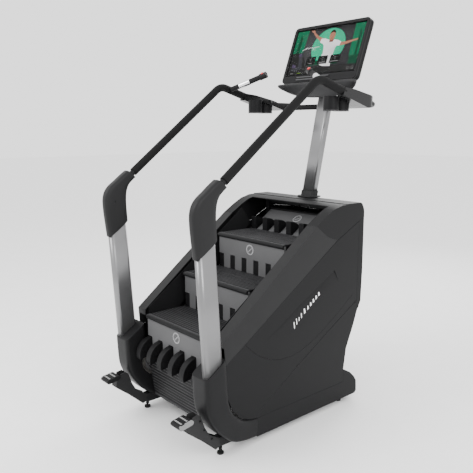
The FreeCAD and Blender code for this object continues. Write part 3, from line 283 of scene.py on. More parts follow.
def carve(node, name, material, cutters, edge=0.002, segments=3):
    """A moulded shell: the frame node's shape with grooves, seams and scoops cut into it."""
    obj = piece(name, material)
    obj.data = NODES[node].data.copy()
    obj.data.materials.clear()
    obj.data.materials.append(material)
    mesh = bmesh.new()
    mesh.from_mesh(obj.data)
    bmesh.ops.remove_doubles(mesh, verts=mesh.verts, dist=0.00002)
    bmesh.ops.dissolve_limit(mesh, angle_limit=math.radians(1.5), verts=mesh.verts, edges=mesh.edges)
    mesh.to_mesh(obj.data)
    mesh.free()
    for verts, faces in cutters:
        tool = bpy.data.objects.new("tool", bpy.data.meshes.new("tool"))
        tool.data.from_pydata([tuple(v) for v in verts], [], faces)
        shape = bmesh.new()
        shape.from_mesh(tool.data)
        bmesh.ops.recalc_face_normals(shape, faces=shape.faces)
        shape.to_mesh(tool.data)
        shape.free()
        bpy.context.scene.collection.objects.link(tool)
        cut = obj.modifiers.new("cut", "BOOLEAN")
        cut.operation = "DIFFERENCE"
        cut.solver = "EXACT"
        cut.object = tool
        graph = bpy.context.evaluated_depsgraph_get()
        carved = bpy.data.meshes.new_from_object(obj.evaluated_get(graph))
        obj.modifiers.clear()
        obj.data = carved
        bpy.data.objects.remove(tool)
    if edge:
        bevel = obj.modifiers.new("edge", "BEVEL")
        bevel.width = edge
        bevel.segments = segments
        bevel.limit_method = "ANGLE"
        bevel.angle_limit = math.radians(32)
    obj.modifiers.new("even", "WEIGHTED_NORMAL").keep_sharp = True
    for face in obj.data.polygons:
        face.use_smooth = True
    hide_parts(node)
    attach(obj, "machine")
    return obj


def groove(points, side, face_x, width, depth, flare=1.0):
    """A V-shaped cutter along points given in the side plane, (forward, up) in metres."""
    verts, faces = [], []
    count = len(points)
    for i, (y, z) in enumerate(points):
        before = Vector(points[max(0, i - 1)])
        after = Vector(points[min(count - 1, i + 1)])
        along = (after - before).normalized()
        across = Vector((-along.y, along.x)) * width / 2
        for part, x in ((1, face_x + 0.004), (-1, face_x + 0.004), (0, face_x - depth)):
            spread = across * part * flare
            verts.append(at(side * x, y + spread.x, z + spread.y))
    for i in range(count - 1):
        a = 3 * i
        for p, q in ((0, 1), (1, 2), (2, 0)):
            faces.append((a + p, a + q, a + 3 + q, a + 3 + p))
    faces += [(0, 2, 1), (3 * count - 3, 3 * count - 2, 3 * count - 1)]
    return verts, faces


def scoop(points, side, face_x, widths, depths):
    """A recess with one sharp upper edge and a floor that rises smoothly to the face below it."""
    verts, faces = [], []
    count = len(points)
    for i, (y, z) in enumerate(points):
        slope = Vector(points[min(count - 1, i + 1)]) - Vector(points[max(0, i - 1)])
        down = Vector((slope.y, -slope.x)).normalized() * widths[i]
        for reach, x in ((0.0, face_x + 0.004), (0.06, face_x - depths[i]), (0.35, face_x - depths[i] * 0.6),
                         (1.0, face_x), (1.0, face_x + 0.004)):
            verts.append(at(side * x, y + down.x * reach, z + down.y * reach))
    for i in range(count - 1):
        for k in range(5):
            a, b = 5 * i + k, 5 * i + (k + 1) % 5
            faces.append((a, b, b + 5, a + 5))
    faces += [(4, 3, 2, 1, 0), tuple(5 * (count - 1) + k for k in range(5))]
    return verts, faces


SIDE_X = 0.381
LONG_GROOVE = [(-0.01, 0.468), (0.148, 0.569), (0.317, 0.68), (0.497, 0.796), (0.65, 0.892), (0.794, 0.9845),
               (1.01, 1.0885)]
SCOOP = [(0.264, 0.541), (0.355, 0.589), (0.501, 0.676), (0.655, 0.757), (0.776, 0.821)]
SCOOP_WIDTHS = (0.006, 0.022, 0.045, 0.07, 0.085)
SCOOP_DEPTHS = (0.0008, 0.0026, 0.0036, 0.0038, 0.0038)
LIGHT_LINE = [(0.16, 0.132), (0.34, 0.243), (0.495, 0.34), (0.749, 0.483), (0.982, 0.611)]
LOOP_SEAM = [(0.118, 0.549), (0.165, 0.505), (0.21, 0.47), (0.261, 0.442), (0.312, 0.42), (0.362, 0.41),
             (0.44, 0.407), (0.512, 0.416), (0.61, 0.452), (0.71, 0.502), (0.82, 0.57), (0.938, 0.648)]
for side, hand in ((1, "right"), (-1, "left")):
    cuts = [groove(LONG_GROOVE, side, SIDE_X, 0.02, 0.0038), groove(LIGHT_LINE, side, SIDE_X, 0.014, 0.0024),
            scoop(SCOOP, side, SIDE_X, SCOOP_WIDTHS, SCOOP_DEPTHS),
            groove(LOOP_SEAM, side, SIDE_X, 0.0036, 0.002)]
    carve("%s_side_panel" % hand, "%s_side_skin" % hand, panel_black, cuts, 0.0012, 2)
    coat_node("%s_rail_cover" % hand, rail_black, 0.004, 3)
coat_node("top_cover", moulded_black, 0.005, 4)
coat_node("front_cover", moulded_black, 0.004, 3)
coat_node("inner_walls", moulded_black, 0.0008, 1)
coat_node("base_covers", moulded_black, 0.006, 4)

# ---------------------------------------------------------------- boots
# J-shaped moulded boots: each wraps the foot of a post and sweeps forward under the casing.
# Two shells screwed together over the frame's post arm, thinner towards the toe.
boot_black = finish("boot_black", (0.009, 0.009, 0.0095), 0.42, grain=650, bump=0.25, mottle=0.08)


def rounded_ring(centre, half_a, half_b, axis_a, axis_b, power, count):
    """Points of a rounded rectangle, as a superellipse, in the plane of two axes."""
    ring = []
    for i in range(count):
        t = 2 * math.pi * (i + 0.5) / count
        c, s = math.cos(t), math.sin(t)
        a = math.copysign(abs(c) ** (2 / power), c) * half_a
        b = math.copysign(abs(s) ** (2 / power), s) * half_b
        ring.append(centre + axis_a * a + axis_b * b)
    return ring


def loft(name, material, rings, edge=0.0, body="machine"):
    """A closed skin through rings of equal count, with flat ends."""
    count = len(rings[0])
    verts = [v for ring in rings for v in ring]
    faces = []
    for i in range(len(rings) - 1):
        for j in range(count):
            a = i * count + j
            b = i * count + (j + 1) % count
            faces.append((a, b, b + count, a + count))
    faces.append(tuple(range(count)))
    faces.append(tuple(range(len(verts) - count, len(verts))))
    return fill(piece(name, material), verts, faces, body, edge, 3, 50)


def side_skin(name, material, stations, side, power=5.0, steps=4, edge=0.002):
    """A lofted cover from stations of (outer y, z, inner y, z, near x, far x) in the side plane."""
    smooth = []
    for i in range(len(stations) - 1):
        p = [stations[max(0, i - 1)], stations[i], stations[i + 1], stations[min(len(stations) - 1, i + 2)]]
        for s in range(steps):
            t = s / steps
            smooth.append([0.5 * (2 * b + (c - a) * t + (2 * a - 5 * b + 4 * c - d) * t * t
                                  + (3 * b - a - 3 * c + d) * t ** 3) for a, b, c, d in zip(*p)])
    smooth.append(stations[-1])
    rings = []
    for y0, z0, y1, z1, x0, x1 in smooth:
        a = at(side * (x0 + x1) / 2, y0, z0)
        b = at(side * (x0 + x1) / 2, y1, z1)
        rings.append(rounded_ring((a + b) / 2, (b - a).length / 2, (x1 - x0) / 2, (b - a).normalized(),
                                  Vector((1, 0, 0)), power, 48))
    return loft(name, material, rings, edge)


BOOT = [(-0.146, 0.443, -0.027, 0.521, 0.292, 0.415), (-0.1455, 0.42, -0.021, 0.48, 0.292, 0.415),
        (-0.143, 0.375, -0.016, 0.42, 0.292, 0.415), (-0.1405, 0.33, -0.013, 0.376, 0.292, 0.415),
        (-0.135, 0.285, -0.009, 0.335, 0.292, 0.415), (-0.121, 0.243, -0.004, 0.296, 0.292, 0.415),
        (-0.097, 0.198, 0.011, 0.256, 0.292, 0.4145), (-0.061, 0.151, 0.031, 0.223, 0.292, 0.412),
        (-0.017, 0.109, 0.058, 0.196, 0.292, 0.408), (0.035, 0.071, 0.09, 0.171, 0.292, 0.403),
        (0.095, 0.051, 0.124, 0.155, 0.292, 0.397), (0.15, 0.041, 0.16, 0.144, 0.292, 0.391),
        (0.202, 0.035, 0.202, 0.137, 0.292, 0.385)]
for side, hand in ((1, "right"), (-1, "left")):
    boot = side_skin("%s_boot_shell" % hand, boot_black, BOOT, side, 7.0)
    if hand == "right":
        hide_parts("boots")

# ---------------------------------------------------------------- posts
# Extruded posts in silver-grey metallic paint, rounded at the corners, leaning back a little.
silver_paint = finish("silver_paint", (0.2, 0.2, 0.203), 0.3, 0.8, grain=1200, bump=0.12, mottle=0.04,
                      shine=0.4)
coat_node("posts", silver_paint)

# ---------------------------------------------------------------- handrails
# Bent steel tube, one each side, from the post up to the console and across to the mast.
tube_black = finish("tube_black", (0.01, 0.01, 0.0105), 0.4, grain=800, bump=0.2)
coat_node("left_handrail", tube_black)
coat_node("right_handrail", tube_black)

# ---------------------------------------------------------------- handrail sleeves
# Soft matte sleeves slipped over the tubes where the hands slide.
sleeve_foam = finish("sleeve_foam", (0.006, 0.006, 0.0062), 0.66, grain=900, bump=0.6, mottle=0.15)
coat_node("rail_sleeves", sleeve_foam, 0.0015, 2)

# ---------------------------------------------------------------- elbow covers
# Two-shell moulded elbows that close the joint of post and handrail, held by three screws.
elbow_black = finish("elbow_black", (0.015, 0.015, 0.0155), 0.4, grain=650, bump=0.25, mottle=0.06)
ELBOW = [(y0, z0, y1, z1, 0.357, 0.415) for y0, z0, y1, z1 in (
    (-0.184, 1.014, -0.067, 1.096), (-0.19, 1.06, -0.069, 1.13), (-0.196, 1.11, -0.071, 1.165),
    (-0.2015, 1.165, -0.072, 1.2), (-0.2025, 1.215, -0.07, 1.236), (-0.192, 1.254, -0.063, 1.268),
    (-0.168, 1.285, -0.05, 1.293), (-0.13, 1.313, -0.034, 1.308), (-0.095, 1.34, -0.022, 1.318),
    (-0.06, 1.364, -0.013, 1.324))]
POST_X = 0.386
screw_black = finish("screw_black", (0.008, 0.008, 0.008), 0.35, 0.6, grain=900, bump=0.2)


def screw_head(name, where, out, radius=0.0042, body="machine"):
    """A sunk socket screw head: a dished ring round a round well."""
    across = out.orthogonal().normalized()
    up = out.cross(across)
    verts, faces = [], []
    rings = ((radius, 0.0, 24), (radius, 0.0012, 24), (radius * 0.8, 0.0016, 24), (radius * 0.5, 0.0014, 24),
             (radius * 0.45, -0.001, 24))
    for r, lift, count in rings:
        for i in range(count):
            t = 2 * math.pi * i / count
            verts.append(where + across * r * math.cos(t) + up * r * math.sin(t) + out * lift)
    for k in range(len(rings) - 1):
        for i in range(24):
            a = k * 24 + i
            b = k * 24 + (i + 1) % 24
            faces.append((a, b, b + 24, a + 24))
    faces.append(tuple(range(24)))
    faces.append(tuple(range(4 * 24, 5 * 24)))
    return fill(piece(name, screw_black), verts, faces, body)


for side, hand in ((1, "right"), (-1, "left")):
    elbow = side_skin("%s_elbow_shell" % hand, elbow_black, ELBOW, side, 3.6)
    if hand == "right":
        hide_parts("elbow_covers")
    inward = Vector((-side, 0, 0))
    for i, (y, z) in enumerate(((-0.148, 1.205), (-0.13, 1.06), (-0.045, 1.315))):
        screw_head("%s_elbow_screw_%d" % (hand, i + 1), at(side * (POST_X - 0.0285), y, z), inward)
    screw_head("%s_boot_screw" % hand, at(side * 0.4132, -0.073, 0.462), Vector((side, 0, 0)), 0.0055)
    for i, (y, z) in enumerate(((0.498, 0.34), (0.969, 0.597))):
        screw_head("%s_panel_screw_%d" % (hand, i + 1), at(side * 0.3805, y, z), Vector((side, 0, 0)), 0.005)

# ---------------------------------------------------------------- side mark
# A generic row of slanted strokes, printed in white in the scoop of each side panel.
mark_white = finish("mark_white", (0.95, 0.95, 0.95), 0.4, grain=800, bump=0.05, mottle=0.02)
MARK_START = Vector((0.462, 0.562))
MARK_ALONG = Vector((0.822, 0.57))
MARK_UP = Vector((-0.3, 0.954))
for side, hand in ((1, "right"), (-1, "left")):
    verts, faces = [], []
    for i, (run, low, high) in enumerate(((0.0, -0.012, 0.03), (0.022, -0.004, 0.034), (0.044, 0.0, 0.022),
                                          (0.066, 0.0, 0.03), (0.094, 0.004, 0.036), (0.124, 0.004, 0.026),
                                          (0.15, 0.004, 0.026), (0.176, 0.004, 0.026), (0.202, 0.004, 0.026),
                                          (0.228, 0.004, 0.026))):
        start = len(verts)
        for lift, wide in ((low, 0.0), (low, 0.006 if i < 4 else 0.014), (high, 0.011 if i < 4 else 0.012),
                           (high, 0.005)):
            spot = MARK_START + MARK_ALONG * (run + wide) + MARK_UP * lift * 0.8
            for x in (0.3772, 0.3814):
                verts.append(at(side * x, spot.x, spot.y))
        faces += [tuple(start + k for k in f) for f in ((0, 2, 4, 6), (7, 5, 3, 1), (0, 1, 3, 2), (2, 3, 5, 4),
                                                        (4, 5, 7, 6), (6, 7, 1, 0))]
    fill(piece("%s_side_mark" % hand, mark_white), verts, faces, "machine")

# ---------------------------------------------------------------- grips and thumb buttons
# Slim rubber grips angled in from the handrails, each with a polished pulse contact and
# a cap that holds a red speed button.
grip_rubber = finish("grip_rubber", (0.009, 0.009, 0.0095), 0.55, grain=700, bump=0.4)
cap_black = finish("cap_black", (0.01, 0.01, 0.0105), 0.36, grain=700, bump=0.15)
button_red = finish("button_red", (0.62, 0.03, 0.03), 0.32, grain=600, bump=0.1, mottle=0.05, coat=0.3)
contact_steel = finish("contact_steel", (0.75, 0.75, 0.76), 0.16, 1.0, grain=300, bump=0.05, mottle=0.04)
coat_node("grips", grip_rubber, 0.001, 2)
coat_node("grip_caps", cap_black, 0.003, 4)
coat_node("left_speed_button", button_red, 0.002, 4)
coat_node("right_speed_button", button_red, 0.002, 4)
coat_node("pulse_contacts", contact_steel, 0.0006, 2)

# ---------------------------------------------------------------- foot platforms
# Pressed gussets bolted to the frame carry rubber-topped steps, with light end caps.
gusset_black = finish("gusset_black", (0.022, 0.022, 0.0225), 0.45, grain=900, bump=0.3)
platform_rubber = finish("platform_rubber", (0.009, 0.009, 0.0095), 0.55, grain=500, bump=0.4)
end_cap_grey = finish("end_cap_grey", (0.2, 0.2, 0.2), 0.45, grain=600, bump=0.1)
stripe_white = finish("stripe_white", (0.3, 0.3, 0.3), 0.5, grain=600, bump=0.2)
coat_node("step_brackets", gusset_black, 0.0008, 2)
coat_node("foot_platforms", platform_rubber, 0.001, 2)
PLATFORM_AT = (-0.229, 0.24)
PLATFORM_TILT = math.radians(9)


def on_platform(side, x, along, up):
    """A point on a foot platform: across, forward along its top, and up from its middle."""
    c, s = math.cos(PLATFORM_TILT), math.sin(PLATFORM_TILT)
    return at(side * x, PLATFORM_AT[0] + along * c - up * s, PLATFORM_AT[1] + along * s + up * c)


for side, hand in ((1, "right"), (-1, "left")):
    for i, (y, z) in enumerate(((-0.14, 0.226), (-0.115, 0.172), (-0.07, 0.112))):
        screw_head("%s_bracket_bolt_%d" % (hand, i + 1), at(side * 0.354, y, z), Vector((side, 0, 0)), 0.006)
    rim = []
    for k in range(28):
        t = 2 * math.pi * k / 28
        along = 0.0285 * (1 if math.cos(t) > 0 else -1) + 0.0122 * math.cos(t)
        rim.append((along, 0.0122 * math.sin(t)))
    rings = [[on_platform(side, x, a * grow, u * grow) for a, u in rim]
             for x, grow in ((0.3625, 0.98), (0.363, 1.0), (0.371, 1.0), (0.373, 0.9))]
    loft("%s_platform_end" % hand, end_cap_grey, rings)
    verts, faces = [], []
    for row in (-0.02, 0.012):
        for k in range(6):
            v, f = brick(0.304 + k * 0.0098, 0.3105 + k * 0.0098, row - 0.004, row + 0.004, 0.0133,
                         0.0141, len(verts))
            verts += [on_platform(side, p.x, p.y, p.z) for p in v]
            faces += f
    fill(piece("%s_platform_dashes" % hand, stripe_white), verts, faces, "machine")

# ---------------------------------------------------------------- mast and its boot
# Oval aluminium mast through the hood into the frame's head tube, painted silver-grey,
# with a moulded boot that closes the hole.
mast_paint = finish("mast_paint", (0.2, 0.2, 0.203), 0.3, 0.8, grain=1200, bump=0.12, mottle=0.04,
                    shine=0.4)
coat_node("mast", mast_paint)
coat_node("mast_boot", elbow_black, 0.004, 4)

# ---------------------------------------------------------------- trays and cup holders
# Glossy moulded wings round the handrails carry shelves, with two joined round cups each.
wing_gloss = finish("wing_gloss", (0.007, 0.007, 0.0075), 0.26, grain=600, bump=0.08, mottle=0.06, coat=0.3)
cup_black = finish("cup_black", (0.007, 0.007, 0.0075), 0.34, grain=600, bump=0.2)
shelf_grey = finish("shelf_grey", (0.13, 0.13, 0.132), 0.5, grain=600, bump=0.2)
coat_node("trays", wing_gloss, 0.012, 6)
coat_node("cup_holders", cup_black, 0.0008, 2)
cup_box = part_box("cup_holders")
CUP_MIDDLE = (cup_box[0].y + cup_box[1].y) / 2
CUP_FOOT = cup_box[0].z
for side, hand in ((1, "right"), (-1, "left")):
    for i, y in enumerate((CUP_MIDDLE - 0.041, CUP_MIDDLE + 0.041)):
        rings = []
        for z, r in ((0.0001, 0.036), (0.0001, 0.0405), (0.0012, 0.0427), (0.0046, 0.0432), (0.0052, 0.0428)):
            rings.append([Vector((side * 0.3 + r * math.cos(t), y + r * math.sin(t), CUP_FOOT + z))
                          for t in (2 * math.pi * k / 48 for k in range(48))])
        loft("%s_cup_foot_%d" % (hand, i + 1), shelf_grey, rings)

# ---------------------------------------------------------------- console
# Moulded two-part housing round a lit display behind glass. The bezel's corners are round,
# the rear shell has cooling ridges, and the ledge below holds a reading rack.
console_black = finish("console_black", (0.008, 0.008, 0.0085), 0.42, grain=650, bump=0.25)
ledge_grey = finish("ledge_grey", (0.03, 0.03, 0.031), 0.42, grain=650, bump=0.2)
rack_grey = finish("rack_grey", (0.06, 0.06, 0.062), 0.45, grain=650, bump=0.2)
circuit_green = finish("circuit_green", (0.02, 0.14, 0.06), 0.4, grain=200, bump=0.3)
coat_node("console_board", circuit_green, 0.0004, 1)
SCREEN_W = 0.538
SCREEN_H = 0.303
SCREEN_TILT = math.radians(20.5)


def on_screen(u, depth, v):
    """A point on the tilted console: across, behind the glass's middle, and up from the picture's foot."""
    c, s = math.cos(SCREEN_TILT), math.sin(SCREEN_TILT)
    return at(u, 1.0325 + depth * c + v * s, 1.903 - depth * s + v * c)


def round_frame(low_u, high_u, low_v, high_v, radius, depth, count=10):
    """A rounded rectangle on the tilted console, as a ring of points."""
    ring = []
    for cu, cv, start in ((high_u - radius, high_v - radius, 0), (low_u + radius, high_v - radius, 90),
                          (low_u + radius, low_v + radius, 180), (high_u - radius, low_v + radius, 270)):
        for k in range(count):
            t = math.radians(start + 90 * k / (count - 1))
            ring.append(on_screen(cu + radius * math.cos(t), depth, cv + radius * math.sin(t)))
    return ring


WIDE, LOW, HIGH = 0.288, -0.046, 0.322
frame_rings = [round_frame(-WIDE + i, WIDE - i, LOW + i, HIGH - i, 0.026 - i, d)
               for i, d in ((0.0, 0.0078), (0.0, -0.0005), (0.0008, -0.0026), (0.0028, -0.0038))]
half = SCREEN_W / 2
for depth in (-0.0032, 0.0021):
    frame_rings.append(round_frame(-half, half, 0.0, SCREEN_H, 0.0015, depth))
frame_rings.append(round_frame(-half + 0.006, half - 0.006, 0.006, SCREEN_H - 0.006, 0.0015, 0.0078))
verts = [v for ring in frame_rings for v in ring]
faces = []
count = len(frame_rings[0])
for i in range(len(frame_rings)):
    for k in range(count):
        a, b = i * count + k, i * count + (k + 1) % count
        after = (i + 1) % len(frame_rings) * count
        faces.append((a, b, after + (k + 1) % count, after + k))
bezel = fill(piece("console_bezel_frame", console_black), verts, faces, "machine")
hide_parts("console_bezel")
shell = [round_frame(-WIDE + i, WIDE - i, LOW + i, HIGH - i, 0.026, d)
         for i, d in ((0.0015, 0.0084), (0.0, 0.009), (0.0, 0.0118), (0.0016, 0.0122), (0.0016, 0.0148),
                      (0.0, 0.0152), (0.0, 0.0178), (0.0016, 0.0182), (0.0016, 0.0208), (0.0, 0.0212),
                      (0.0, 0.034), (0.003, 0.0395), (0.009, 0.0432), (0.016, 0.0438))]
back = loft("console_back_shell", console_black, shell)
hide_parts("console_back")

ledge_rings = []
for k in range(33):
    across = -0.2985 + 0.597 * k / 32
    deep = 0.06 + 0.94 * max(0.0, 1 - abs(across / 0.2985) ** 2.6) ** 0.7
    profile = ((0.993, 1.843), (0.993, 1.8505), (0.9965, 1.853), (1.0095, 1.8572), (1.016, 1.8565),
               (1.0165 + 0.058 * deep, 1.85 - 0.076 * deep), (1.012 + 0.054 * deep, 1.843 - 0.074 * deep),
               (0.999 + 0.022 * deep, 1.8405 - 0.048 * deep))
    ledge_rings.append([at(across, y, z) for y, z in profile])
ledge = loft("console_ledge_shell", ledge_grey, ledge_rings, 0.0015)
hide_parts("console_ledge")
RACK_BARS = ((-0.0185, -0.0095, -0.165, 0.09), (-0.034, -0.0235, -0.165, 0.06))
for i, (low, high, left, right) in enumerate(RACK_BARS):
    rings = []
    for u, inset in ((left, 0.001), (left + 0.001, 0.0), (right - 0.001, 0.0), (right, 0.001)):
        section = ((-0.0028, low + inset), (-0.009 + inset, low + 0.001 + inset),
                   (-0.0095 + inset, high - 0.002 - inset), (-0.0028, high - inset))
        rings.append([on_screen(u, d, v) for d, v in section])
    loft("reading_rack_bar_%d" % (i + 1), rack_grey, rings)

# ---------------------------------------------------------------- display picture
# A lit class screen behind the glass: a generic instructor with open arms in front of a
# green disc, three menu cards and two icons. Every shape is a flat film on the panel.
glass = bpy.data.materials.new("screen_glass")
glass.use_nodes = True
glass_shader = glass.node_tree.nodes["Principled BSDF"]
glass_shader.inputs["Base Color"].default_value = (0.004, 0.005, 0.005, 1)
glass_shader.inputs["Roughness"].default_value = 0.05
glass_shader.inputs["Alpha"].default_value = 0.05
glass_shader.inputs["Specular IOR Level"].default_value = 0.3
smudge = glass.node_tree.nodes.new("ShaderNodeTexNoise")
smudge.inputs["Scale"].default_value = 9.0
clean = glass.node_tree.nodes.new("ShaderNodeMapRange")
clean.inputs["To Min"].default_value = 0.03
clean.inputs["To Max"].default_value = 0.09
glass.node_tree.links.new(smudge.outputs["Fac"], clean.inputs["Value"])
glass.node_tree.links.new(clean.outputs["Result"], glass_shader.inputs["Roughness"])
coat_node("display_glass", glass)
panel_dark = finish("panel_dark", (0.02, 0.02, 0.022), 0.4)
coat_node("display_panel", panel_dark)
film_layer = 0
FILM_COLOURS = {
    "backdrop": (0.095, 0.083, 0.078), "leaf_green": (0.004, 0.2, 0.09), "pine_green": (0.002, 0.075, 0.035),
    "bright_green": (0.004, 0.62, 0.32), "shirt_white": (1.7, 1.65, 1.7), "skin": (0.62, 0.25, 0.16),
    "hair": (0.03, 0.014, 0.01), "card": (0.008, 0.008, 0.008), "bar": (0.022, 0.022, 0.022),
    "line_white": (1.3, 1.3, 1.3), "machine_grey": (0.05, 0.05, 0.06), "machine_violet": (0.1, 0.07, 0.14),
    "shade": (0.28, 0.1, 0.07), "label_lime": (0.25, 0.5, 0.02), "icon_grey": (0.4, 0.4, 0.4),
}
film = {name: finish("film_" + name, colour, 0.5, grain=1500, bump=0.02, mottle=0.1, patch=14,
                     glow=1.0, shine=0.02) for name, colour in FILM_COLOURS.items()}


def film_shape(name, colour, outlines):
    """Flat shapes on the display, given across 0 to 1 and up 0 to 1, each film just before the last."""
    global film_layer
    film_layer += 1
    verts, faces = [], []
    for outline in outlines:
        start = len(verts)
        for u, v in outline:
            u, v = min(0.985, max(0.015, u)), min(0.974, max(0.026, v))
            verts.append(on_screen((u - 0.5) * SCREEN_W, 0.00238 - film_layer * 0.000015, v * SCREEN_H))
        faces.append(tuple(range(start, len(verts))))
    obj = piece(name, film[colour])
    obj.data.from_pydata([tuple(v) for v in verts], [], faces)
    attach(obj, "machine")


def oval(u, v, half_u, half_v, start=0, sweep=360, count=40):
    return [(u + half_u * math.cos(math.radians(start + sweep * k / (count - 1))),
             v + half_v * math.sin(math.radians(start + sweep * k / (count - 1)))) for k in range(count)]


def stroke(points, half_width):
    """A line of even width through points, as one outline."""
    left, right = [], []
    for i, (u, v) in enumerate(points):
        a, b = points[max(0, i - 1)], points[min(len(points) - 1, i + 1)]
        run = Vector(((b[0] - a[0]) * SCREEN_W, (b[1] - a[1]) * SCREEN_H)).normalized()
        w = half_width[i] if isinstance(half_width, tuple) else half_width
        left.append((u - run.y * w / SCREEN_W, v + run.x * w / SCREEN_H))
        right.append((u + run.y * w / SCREEN_W, v - run.x * w / SCREEN_H))
    return left + right[::-1]


film_shape("film_backdrop", "backdrop", [[(0, 0), (1, 0), (1, 1), (0, 1)]])
film_shape("film_columns", "leaf_green", [[(0, 0.49), (0.17, 0.48), (0.19, 1), (0, 1)],
                                          [(0.86, 0.32), (1, 0.34), (1, 1), (0.85, 1)]])
film_shape("film_column_shade", "pine_green", [[(0.06, 0.5), (0.11, 0.49), (0.12, 0.8), (0.08, 0.9)],
                                               [(0.87, 0.15), (1, 0.16), (1, 0.34), (0.87, 0.33)],
                                               [(0.93, 0.34), (0.96, 0.34), (0.965, 0.8), (0.93, 0.86)]])
film_shape("film_disc", "bright_green", [oval(0.53, 0.58, 0.235, 0.375)])
film_shape("film_floor", "pine_green", [[(0.3, 0.2), (0.72, 0.2), (0.74, 0.3), (0.28, 0.3)]])
film_shape("film_corner", "bar", [[(0, 0), (1, 0), (1, 0.16), (0.26, 0.18), (0.24, 0.3), (0.17, 0.5),
                                   (0, 0.5)]])
film_shape("film_machine", "machine_grey", [
    [(0.15, 0.16), (0.21, 0.16), (0.18, 0.46), (0.13, 0.46)],
    [(0.05, 0.13), (0.12, 0.1), (0.2, 0.16), (0.19, 0.2), (0.06, 0.2)]])
film_shape("film_machine_seat", "machine_violet", [
    [(0.05, 0.2), (0.11, 0.18), (0.12, 0.23), (0.06, 0.27)],
    [(0.12, 0.42), (0.165, 0.42), (0.17, 0.49), (0.125, 0.48)]])
film_shape("film_trousers", "shirt_white", [
    [(0.47, 0.2), (0.52, 0.17), (0.63, 0.155), (0.62, 0.42), (0.47, 0.42)]])
film_shape("film_arms", "skin", [
    stroke([(0.45, 0.7), (0.4, 0.745), (0.345, 0.8), (0.295, 0.87), (0.265, 0.925)],
           (0.013, 0.0115, 0.0085, 0.0065, 0.005)),
    stroke([(0.66, 0.61), (0.72, 0.595), (0.78, 0.605), (0.84, 0.625), (0.875, 0.635)],
           (0.013, 0.0105, 0.0085, 0.0065, 0.005)),
    oval(0.257, 0.94, 0.022, 0.022), oval(0.888, 0.64, 0.024, 0.017),
    stroke([(0.245, 0.94), (0.222, 0.965)], 0.0022), stroke([(0.258, 0.95), (0.25, 0.975)], 0.0022),
    stroke([(0.9, 0.645), (0.927, 0.66)], 0.0022), stroke([(0.9, 0.64), (0.93, 0.638)], 0.0022)])
film_shape("film_shirt", "shirt_white", [[(0.48, 0.4), (0.63, 0.38), (0.64, 0.52), (0.655, 0.565), (0.69, 0.56),
                                          (0.705, 0.64), (0.66, 0.68), (0.605, 0.705), (0.56, 0.685),
                                          (0.52, 0.715), (0.46, 0.755), (0.405, 0.76), (0.395, 0.68),
                                          (0.435, 0.655), (0.465, 0.6), (0.475, 0.5)]])
film_shape("film_neck", "shade", [[(0.53, 0.66), (0.585, 0.66), (0.59, 0.73), (0.53, 0.74)]])
film_shape("film_head", "skin", [oval(0.557, 0.795, 0.04, 0.098)])
film_shape("film_hair", "hair", [oval(0.557, 0.815, 0.0425, 0.098, 8, 164, 24) + [(0.527, 0.85), (0.56, 0.868),
                                                                                (0.588, 0.848)]])
film_shape("film_face", "shade", [stroke([(0.536, 0.818), (0.549, 0.823)], 0.0007),
                                  stroke([(0.565, 0.823), (0.578, 0.818)], 0.0007),
                                  oval(0.543, 0.803, 0.0042, 0.0038), oval(0.571, 0.803, 0.0042, 0.0038),
                                  stroke([(0.556, 0.798), (0.559, 0.775), (0.554, 0.77)], 0.0005),
                                  stroke([(0.543, 0.745), (0.557, 0.739), (0.571, 0.745)], 0.0008)])
film_shape("film_cards", "card", [[(0.255, 0.215), (0.395, 0.215), (0.4, 0.385), (0.26, 0.385)],
                                  [(0.43, 0.215), (0.57, 0.215), (0.575, 0.385), (0.435, 0.385)],
                                  [(0.605, 0.215), (0.745, 0.215), (0.75, 0.385), (0.61, 0.385)]])
card_marks = []
for left, wide in ((0.328, 0.02), (0.503, 0.045), (0.678, 0.055)):
    card_marks.append(stroke([(left - wide, 0.25), (left + wide, 0.252)], 0.0016))
    card_marks.append(stroke(oval(left, 0.325, 0.013, 0.022, 20, 300, 14), 0.0007))
film_shape("film_card_marks", "icon_grey", card_marks)
film_shape("film_title", "line_white", [
    stroke([(0.155, 0.545), (0.19, 0.572), (0.22, 0.598)], 0.0016),
    stroke([(0.2, 0.56), (0.235, 0.6), (0.245, 0.565), (0.28, 0.603)], 0.0018),
    stroke([(0.28, 0.57), (0.3, 0.598), (0.315, 0.565), (0.345, 0.6)], 0.0018),
    stroke([(0.34, 0.565), (0.365, 0.59), (0.405, 0.588)], 0.0016),
    stroke([(0.3, 0.535), (0.36, 0.537)], 0.0008)])
film_shape("film_icons", "icon_grey", [stroke(oval(0.89, 0.085, 0.014, 0.026, 0, 330, 16), 0.0007),
                                       stroke(oval(0.95, 0.085, 0.014, 0.026, 40, 330, 16), 0.0007),
                                       stroke([(0.06, 0.062), (0.1, 0.062)], 0.0014)])
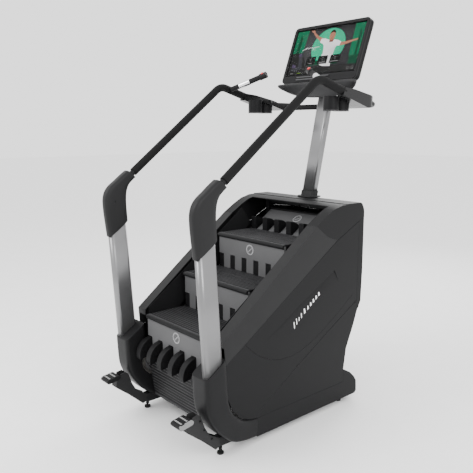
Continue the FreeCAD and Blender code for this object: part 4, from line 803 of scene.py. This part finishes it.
film_shape("film_label", "label_lime", [stroke([(0.165, 0.062), (0.215, 0.062)], 0.0014)])

# ---------------------------------------------------------------- studio
# A pale floor, a soft key light from the upper left, a wide fill and a rim from behind.
floor_paint = finish("floor_paint", (0.94, 0.94, 0.94), 0.7, grain=40, bump=0.02, mottle=0.01)
floor = bpy.data.objects.new("floor", bpy.data.meshes.new("floor"))
floor.data.from_pydata([(-30, -30, 0), (30, -30, 0), (30, 30, 0), (-30, 30, 0)], [], [(0, 1, 2, 3)])
floor.data.materials.append(floor_paint)
bpy.context.scene.collection.objects.link(floor)


def lamp(name, where, target, size, power):
    """A square soft box aimed at a point."""
    data = bpy.data.lights.new(name, "AREA")
    data.size = size
    data.energy = power
    obj = bpy.data.objects.new(name, data)
    obj.location = where
    obj.rotation_mode = "QUATERNION"
    obj.rotation_quaternion = (Vector(target) - Vector(where)).to_track_quat("-Z", "Y")
    bpy.context.scene.collection.objects.link(obj)


lamp("key", (-1.2, -3.6, 3.6), (0, 0, 1.0), 2.4, 160)
lamp("side", (4.2, -0.6, 3.2), (0, 0, 0.8), 2.2, 110)
lamp("back", (-1.5, 3.8, 3.2), (0, 0, 1.2), 2.0, 90)
world = bpy.data.worlds.new("studio")
world.use_nodes = True
world.node_tree.nodes["Background"].inputs["Color"].default_value = (1, 1, 1, 1)
world.node_tree.nodes["Background"].inputs["Strength"].default_value = 1.9
bpy.context.scene.world = world

CAMERA_AT = at(2.438, -1.714, 1.587)
AZIMUTH = math.radians(49.16)
PITCH = math.radians(10.31)
ahead = Vector((-math.sin(AZIMUTH) * math.cos(PITCH), math.cos(AZIMUTH) * math.cos(PITCH), -math.sin(PITCH)))
camera = bpy.data.objects.new("camera", bpy.data.cameras.new("camera"))
camera.data.lens = 45.26
camera.data.sensor_width = 36.0
camera.location = CAMERA_AT
camera.rotation_mode = "QUATERNION"
camera.rotation_quaternion = ahead.to_track_quat("-Z", "Y")
camera.data.clip_end = 100
bpy.context.scene.collection.objects.link(camera)
bpy.context.scene.camera = camera
